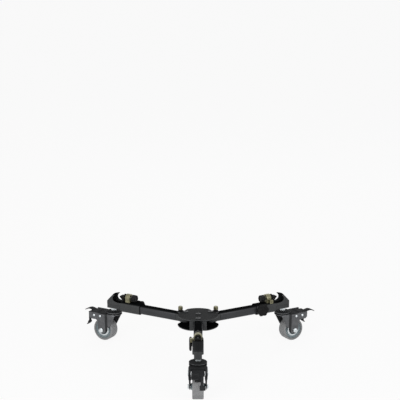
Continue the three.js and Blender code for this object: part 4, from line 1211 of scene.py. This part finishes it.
def clamp_pad():
    start, end = PAD_LOW.x + 0.5, PAD_HIGH.x - 0.6
    seat = PAD_LOW.x + FLANGE_THICKNESS
    low, high = CLAMP_AXIS[1] - PAD_DROP, CLAMP_AXIS[1] + PAD_RISE
    knee = high - PAD_EDGE
    flange = rod("X", 2 * FLANGE, PAD_LOW.x, seat, CLAMP_AXIS, 0.8, ROUND)
    outline = [(start, low), (seat + PAD_FOOT, low), (end, knee), (end, high), (start, high)]
    body = union(flange, rounded(prism("Y", outline, -PAD_HALF, PAD_HALF), 1.2, 3))
    body = cut(body, rod("X", 2 * (CLAMP_SCREW + BORE_GAP), PAD_LOW.x - OVERRUN, PAD_LOW.x + 5.4, CLAMP_AXIS))
    foot = Vector((seat + PAD_FOOT, 0, low + 2.4))
    head = Vector((end, 0, knee - 1))
    rib = rod("Y", 1.2, 1.5 - PAD_HALF, PAD_HALF - 1.5, (foot.x + 0.1, foot.z), 0.3, 10)
    ribs = grown(ROW, Piece=rib, Count=PAD_RIBS, Step=tuple((head - foot) / (PAD_RIBS - 1)))
    return shaded(grouped(body, ribs), 40)


# Hub, in its own frame: x and y from its axis. The front arm lies along -y

PLATE = 3.6
HUB_RADIUS = PIVOT + 20
HUB_FLAT = PIVOT + 12.5
REAR_REACH = PIVOT + 15
HUB_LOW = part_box("hub_base")[0].z / MM
HUB_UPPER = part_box("hub_top_plate")[0].z / MM
HUB_TOP = HUB_UPPER + PLATE
BASE_TOP = HUB_UPPER - SEAT_GAP
HUB_BOSS = 34
BRACKET_HALF = 27
BRACKET_NEAR = PIVOT - 16
BRACKET_FAR = PIVOT + 14
ARM_ROOM = TUBE_SIZE / 2 + 0.6
TONGUE_HALF = 12
TONGUE_START = 10
TONGUE_TIP = PIVOT + 18
SCREW_HOLE = 4.4
PLUNGER_HOLE = 5


def spot(arm, reach, side=0):
    """A place on an arm, in the hub's frame."""
    turn = radians(ARM_ANGLES[arm])
    return (reach * cos(turn) - side * sin(turn), reach * sin(turn) + side * cos(turn))


def hub_outline():
    """A circle with a flat across each arm."""
    half = degrees(acos(HUB_FLAT / HUB_RADIUS))
    return [point for middle in sorted(ARM_ANGLES.values())
            for point in arc((0, 0), HUB_RADIUS, middle + half, middle + 120 - half, 30)]


def hub_bore(radius, centre=(0, 0)):
    """A tool that bores both plates."""
    return bore("Z", 2 * radius, HUB_LOW, HUB_TOP, centre)


def hub_holes():
    return [hub_bore(PIVOT_HOLE, spot(arm, PIVOT)) for arm in ARM_ANGLES] + [hub_bore(SCREW_HOLE)]


def rear_filler():
    """The wedge between the two folding arms."""
    start = ARM_ROOM / cos(radians(ARM_ANGLES["right"]))
    side, rise = spot("right", REAR_REACH)
    far = start + REAR_REACH
    outline = [(0, start), (side, start + rise), (side, far), (-side, far), (-side, start + rise)]
    return common(prism("Z", outline, HUB_LOW, BASE_TOP),
                  rod("Z", 2 * REAR_REACH, HUB_LOW - 1, HUB_UPPER, sides=2 * ROUND))


def hub_base():
    return shaded(casting([
        prism("Z", hub_outline(), HUB_LOW, HUB_LOW + PLATE),
        rod("Z", HUB_BOSS, HUB_LOW, BASE_TOP, sides=ROUND),
        rear_filler(),
        box(-BRACKET_HALF, BRACKET_HALF, -BRACKET_FAR, -BRACKET_NEAR, HUB_LOW, HUB_LOW + PLATE),
        *twins(ARM_ROOM, BRACKET_HALF, lambda low, high: box(
            low, high, -BRACKET_FAR, -BRACKET_NEAR, HUB_LOW, BASE_TOP)),
    ], hub_holes()), CAST_ANGLE)


def tongue(arm):
    """The upper plate's tongue over a folding arm."""
    end = [spot(arm, TONGUE_TIP + u, v) for u, v in arc((0, 0), TONGUE_HALF, -90, 90, 24)]
    outline = [spot(arm, TONGUE_START, -TONGUE_HALF), *end, spot(arm, TONGUE_START, TONGUE_HALF)]
    return prism("Z", outline, HUB_UPPER, HUB_TOP)


def hub_top_plate():
    return shaded(casting([
        prism("Z", hub_outline(), HUB_UPPER, HUB_TOP),
        box(-BRACKET_HALF, BRACKET_HALF, -BRACKET_FAR, 0, HUB_UPPER, HUB_TOP),
        *[tongue(arm) for arm in FOLDING_ARMS],
    ], hub_holes() + [hub_bore(PLUNGER_HOLE, spot(arm, PLUNGER_REACH)) for arm in FOLDING_ARMS]), CAST_ANGLE)


def hub_screw():
    low, high = HUB_SCREW_LOW.z / MM, HUB_SCREW_HIGH.z / MM
    return capped_bolt(low, high, shank=4, head=8, rise=3, socket=5, centre=(0, 0))


# Indexing plunger on each tongue: its body, its pull cap with the pin, and the spring between them

PLUNGER_SEAT = HUB_TOP + SEAT_GAP
PLUNGER = 7.5
PLUNGER_FLANGE = PLUNGER_SEAT + 5
PLUNGER_BARREL = 5
BARREL_TOP = PLUNGER_SEAT + 12
BARREL_ROOF = BARREL_TOP - 1.6
PIN_RADIUS = 1.8
PIN_FOOT = ARM_TOP + SEAT_GAP
COLLAR = 3.7
COLLAR_TOP = PIN_FOOT + 2
CAP = PLUNGER - 0.4
CAP_TOP = PLUNGER_SEAT + 16
CAP_ROOF = CAP_TOP - 2.4
CAP_RIDGE = 0.9
CAP_RIDGES = 24
SPRING_WIRE = 0.8
SPRING_TURNS = 5.0
PLUNGER_PULL = 5


def plunger_body():
    inner = COLLAR + BORE_GAP
    outer = PLUNGER_BARREL - BORE_GAP
    throat = PIN_RADIUS + BORE_GAP
    foot = ARM_TOP + BORE_GAP
    return shaded(lathe("Z", [
        (inner, foot), (outer, foot), (outer, PLUNGER_SEAT), (PLUNGER - 0.5, PLUNGER_SEAT),
        (PLUNGER, PLUNGER_SEAT + 0.5), (PLUNGER, PLUNGER_FLANGE - 0.8), (PLUNGER - 0.8, PLUNGER_FLANGE),
        (PLUNGER_BARREL, PLUNGER_FLANGE), (PLUNGER_BARREL, BARREL_TOP), (throat, BARREL_TOP),
        (throat, BARREL_ROOF), (inner, BARREL_ROOF)], (0, 0), SMALL_ROUND))


def plunger_pin():
    skirt = PLUNGER_FLANGE + SEAT_GAP
    wall = PLUNGER_BARREL + BORE_GAP
    body = lathe("Z", [
        (0, PIN_FOOT), (COLLAR - BORE_GAP, PIN_FOOT), (COLLAR, PIN_FOOT + SEAT_GAP), (COLLAR, COLLAR_TOP),
        (PIN_RADIUS, COLLAR_TOP), (PIN_RADIUS, CAP_ROOF), (wall, CAP_ROOF), (wall, skirt), (CAP - 0.5, skirt),
        (CAP, skirt + 0.5), (CAP, CAP_TOP - 2.6), (CAP - 0.6, CAP_TOP - 2), (CAP - 0.2, CAP_TOP - 1.4),
        (CAP - 0.4, CAP_TOP - 0.5), (CAP - 1.2, CAP_TOP), (0, CAP_TOP)], (0, 0), SMALL_ROUND)
    ridge = rod("Z", CAP_RIDGE, skirt + 0.8, CAP_TOP - 2.9, (0, 0), 0.2, 8)
    return shaded(grouped(body, grown(RING, Piece=ridge, Count=CAP_RIDGES, Radius=PLUNGER - CAP_RIDGE / 2)))


def plunger_spring():
    """The coil inside the barrel, as short as it is at full pull, so that the collar has room under it."""
    low = COLLAR_TOP + 2 * SEAT_GAP + PLUNGER_PULL + SPRING_WIRE / 2
    high = BARREL_ROOF - SEAT_GAP - SPRING_WIRE / 2
    coil = grown(HELIX, Radius=COLLAR - SPRING_WIRE / 2, Turns=SPRING_TURNS, Rise=high - low,
                 Wire=SPRING_WIRE / 2, Sides=10, Steps=32)
    coil.data.transform(Matrix.Translation((0, 0, low)))
    return shaded(coil)


# Mounting: what each piece is made by and of, and where its copies go

HUB_PLACE = Matrix.Translation((HUB.x, HUB.y, 0))
ARM_PLACES = {arm: HUB_PLACE @ Matrix.Rotation(radians(angle), 4, "Z") for arm, angle in ARM_ANGLES.items()}
PLUNGER_PLACES = {arm: HUB_PLACE @ Matrix.Translation((*spot(arm, PLUNGER_REACH), 0)) for arm in FOLDING_ARMS}

ARM_PIECES = {
    "wheel_tread": (tyre, "tread_rubber"),
    "wheel_core": (wheel_centre, "rim_plastic"),
    "wheel_rings": (wheel_rings, "zinc_steel"),
    "axle_bolt": (axle, "zinc_steel"),
    "fork": (fork, "gunmetal_steel"),
    "fork_rivets": (fork_rivets, "zinc_steel"),
    "pedal_pin": (pedal_pin, "zinc_steel"),
    "brake_pedal": (brake_pedal, "gunmetal_steel"),
    "caster_stem": (caster_stem, "gunmetal_steel"),
    "stem_nut": (stem_nut, "zinc_steel"),
    "arm_tube": (arm_tube, "tube_black"),
    "root_bolt": (root_bolt, "dark_steel"),
    "slider": (slider, "cast_black"),
    "lock_knob": (lock_knob, "black_plastic"),
    "lock_stud": (lock_stud, "zinc_steel"),
    "clamp_block": (clamp_block, "gold_anodised"),
    "clamp_screw": (clamp_screw, "zinc_steel"),
    "clamp_knob": (clamp_knob, "black_plastic"),
    "clamp_pad": (clamp_pad, "black_rubber"),
}
HUB_PIECES = {
    "hub_base": (hub_base, "cast_black"),
    "hub_top_plate": (hub_top_plate, "cast_black"),
    "hub_screw": (hub_screw, "dark_steel"),
}
PLUNGER_PIECES = {
    "plunger_body": (plunger_body, "black_plastic"),
    "plunger_pin": (plunger_pin, "gold_anodised"),
    "plunger_spring": (plunger_spring, "spring_steel"),
}
# What a piece that has no solid of its own rides with
RIDES_WITH = {"wheel_rings": "wheel_core", "fork_rivets": "fork", "lock_stud": "lock_knob"}
# How far a piece's top, and its end, count as looking up, which darkens them with painted shade. An end of 1
# looks out along the arm, -1 to the hub
PAINTED_SHADE_TOP = {"hub_top_plate": 0.66}
PAINTED_SHADE_END = {"slider": -1, "fork": 1}
# How strongly painted shade darkens a piece all over
SHADE_ALL_OVER = {"brake_pedal": 0.8}


def mounted(piece, kind, finish_name, matrix, arm=None):
    """A copy of a piece: it goes to its place, stands for its solid and rides on that solid's body.

    Its patterns keep the place that it had in the arm's frame.
    """
    prefix = f"{arm}_" if arm else ""
    node = prefix + RIDES_WITH.get(kind, kind)
    top, end = PAINTED_SHADE_TOP.get(kind, 1), PAINTED_SHADE_END.get(kind, 0)
    mesh = piece.data.copy()
    place = mesh.attributes.new("arm_place", "FLOAT_VECTOR", "POINT")
    place.data.foreach_set("vector", [value for vertex in mesh.vertices for value in vertex.co])
    # faces_up and the shade share lead the painted shade on tops, ends and the pedal
    up = mesh.attributes.new("faces_up", "FLOAT", "FACE")
    up.data.foreach_set("value", [max(f.normal.z * top, f.normal.x * end) for f in mesh.polygons])
    painted_shade = mesh.attributes.new("dark_film", "FLOAT", "FACE")
    painted_shade.data.foreach_set("value", [SHADE_ALL_OVER.get(kind, 0.0)] * len(mesh.polygons))
    mesh.transform(Matrix.Scale(MM, 4) @ matrix)
    mesh.materials.clear()
    mesh.materials.append(FINISHES[finish_name])
    made = put(f"{prefix}{kind}_dressed", mesh)
    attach(made, frame["nodes"][node]["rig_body"])
    if kind not in RIDES_WITH:
        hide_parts(node)


def build_all(pieces, places):
    for kind, (build, finish_name) in pieces.items():
        piece = build()
        for arm, matrix in places.items():
            mounted(piece, kind, finish_name, matrix, arm)
        bpy.data.objects.remove(piece)


def build_dolly():
    build_all(ARM_PIECES, ARM_PLACES)
    for arm, matrix in ARM_PLACES.items():
        build_all({"arm_root": (partial(arm_root, arm in FOLDING_ARMS), "cast_black")}, {arm: matrix})
    build_all(HUB_PIECES, {None: HUB_PLACE})
    build_all(PLUNGER_PIECES, PLUNGER_PLACES)


# Studio: a pale floor, a white surround, soft lamps and the camera

FLOOR_SIZE = 60
FLOOR_DROP = 0.0003
FLOOR_WHITE = 0.9
ROOM_LIGHT = 0.5
CAMERA_BACK = 4.055
CAMERA_SIDE = 0.006
CAMERA_UP = 1.473
CAMERA_PITCH = 76.8
CAMERA_LENS = 119.07
CAMERA_SENSOR = 36
CAMERA_SIGHT = 100
# Each lamp: its place from the hub, its size in metres and its power in watts
LAMPS = {
    "key": ((-1.9, -3.4, 1.5), 2.2, 70),
    "fill": ((2.4, -3.0, 1.2), 2.2, 42),
    "rim": ((0.6, 2.6, 2.6), 2.0, 12),
}


def seen_directly(tree):
    """1 for a ray from the camera, or one that a mirror or glass sends on, and 0 for light."""
    rays = tree.nodes.new("ShaderNodeLightPath").outputs
    first = add(tree, "Math", [rays["Is Camera Ray"], rays["Is Glossy Ray"]], operation="MAXIMUM")
    return add(tree, "Math", [first, rays["Is Transmission Ray"]], operation="MAXIMUM")


def studio_floor():
    """White to look at, with a share of plain diffuse white that keeps the shadow."""
    plane = mesh_object("studio_floor", [(-1, -1, 0), (1, -1, 0), (1, 1, 0), (-1, 1, 0)], [(0, 1, 2, 3)])
    plane.data.transform(Matrix.Translation((0, 0, -FLOOR_DROP)) @ Matrix.Scale(FLOOR_SIZE / 2, 4))
    made = bpy.data.materials.new("white_paper")
    made.use_nodes = True
    tree = made.node_tree
    tree.nodes.clear()
    paper = add(tree, "BsdfDiffuse", {"Color": (0.9, 0.9, 0.9, 1)})
    white = add(tree, "Emission", {"Strength": 1.0})
    share = add(tree, "Math", [seen_directly(tree), FLOOR_WHITE], operation="MULTIPLY")
    add(tree, "OutputMaterial", [add(tree, "MixShader", [share, paper, white])])
    plane.data.materials.append(made)


def studio_room():
    world = bpy.data.worlds.new("white_room")
    bpy.context.scene.world = world
    world.use_nodes = True
    tree = world.node_tree
    background = tree.nodes["Background"].inputs
    background["Color"].default_value = (1, 1, 1, 1)
    strength = add(tree, "MapRange", [seen_directly(tree), 0, 1, ROOM_LIGHT, 1.0])
    tree.links.new(strength, background["Strength"])


def lamp(name, place, size, power):
    light = bpy.data.lights.new(name, "AREA")
    light.size = size
    light.energy = power
    made = put(name, light)
    made.location = HUB * MM + Vector(place)
    made.rotation_euler = (HUB * MM - made.location).to_track_quat("-Z", "Y").to_euler()


def camera():
    lens = bpy.data.cameras.new("camera")
    lens.sensor_width = CAMERA_SENSOR
    lens.lens = CAMERA_LENS
    lens.clip_end = CAMERA_SIGHT
    made = put("camera", lens)
    made.location = (HUB.x * MM + CAMERA_SIDE, HUB.y * MM - CAMERA_BACK, CAMERA_UP)
    made.rotation_euler = (radians(CAMERA_PITCH), 0, 0)
    bpy.context.scene.camera = made


build_dolly()
studio_floor()
studio_room()
for lamp_name, (place, size, power) in LAMPS.items():
    lamp(lamp_name, place, size, power)
camera()
bpy.context.scene.view_settings.view_transform = "Standard"
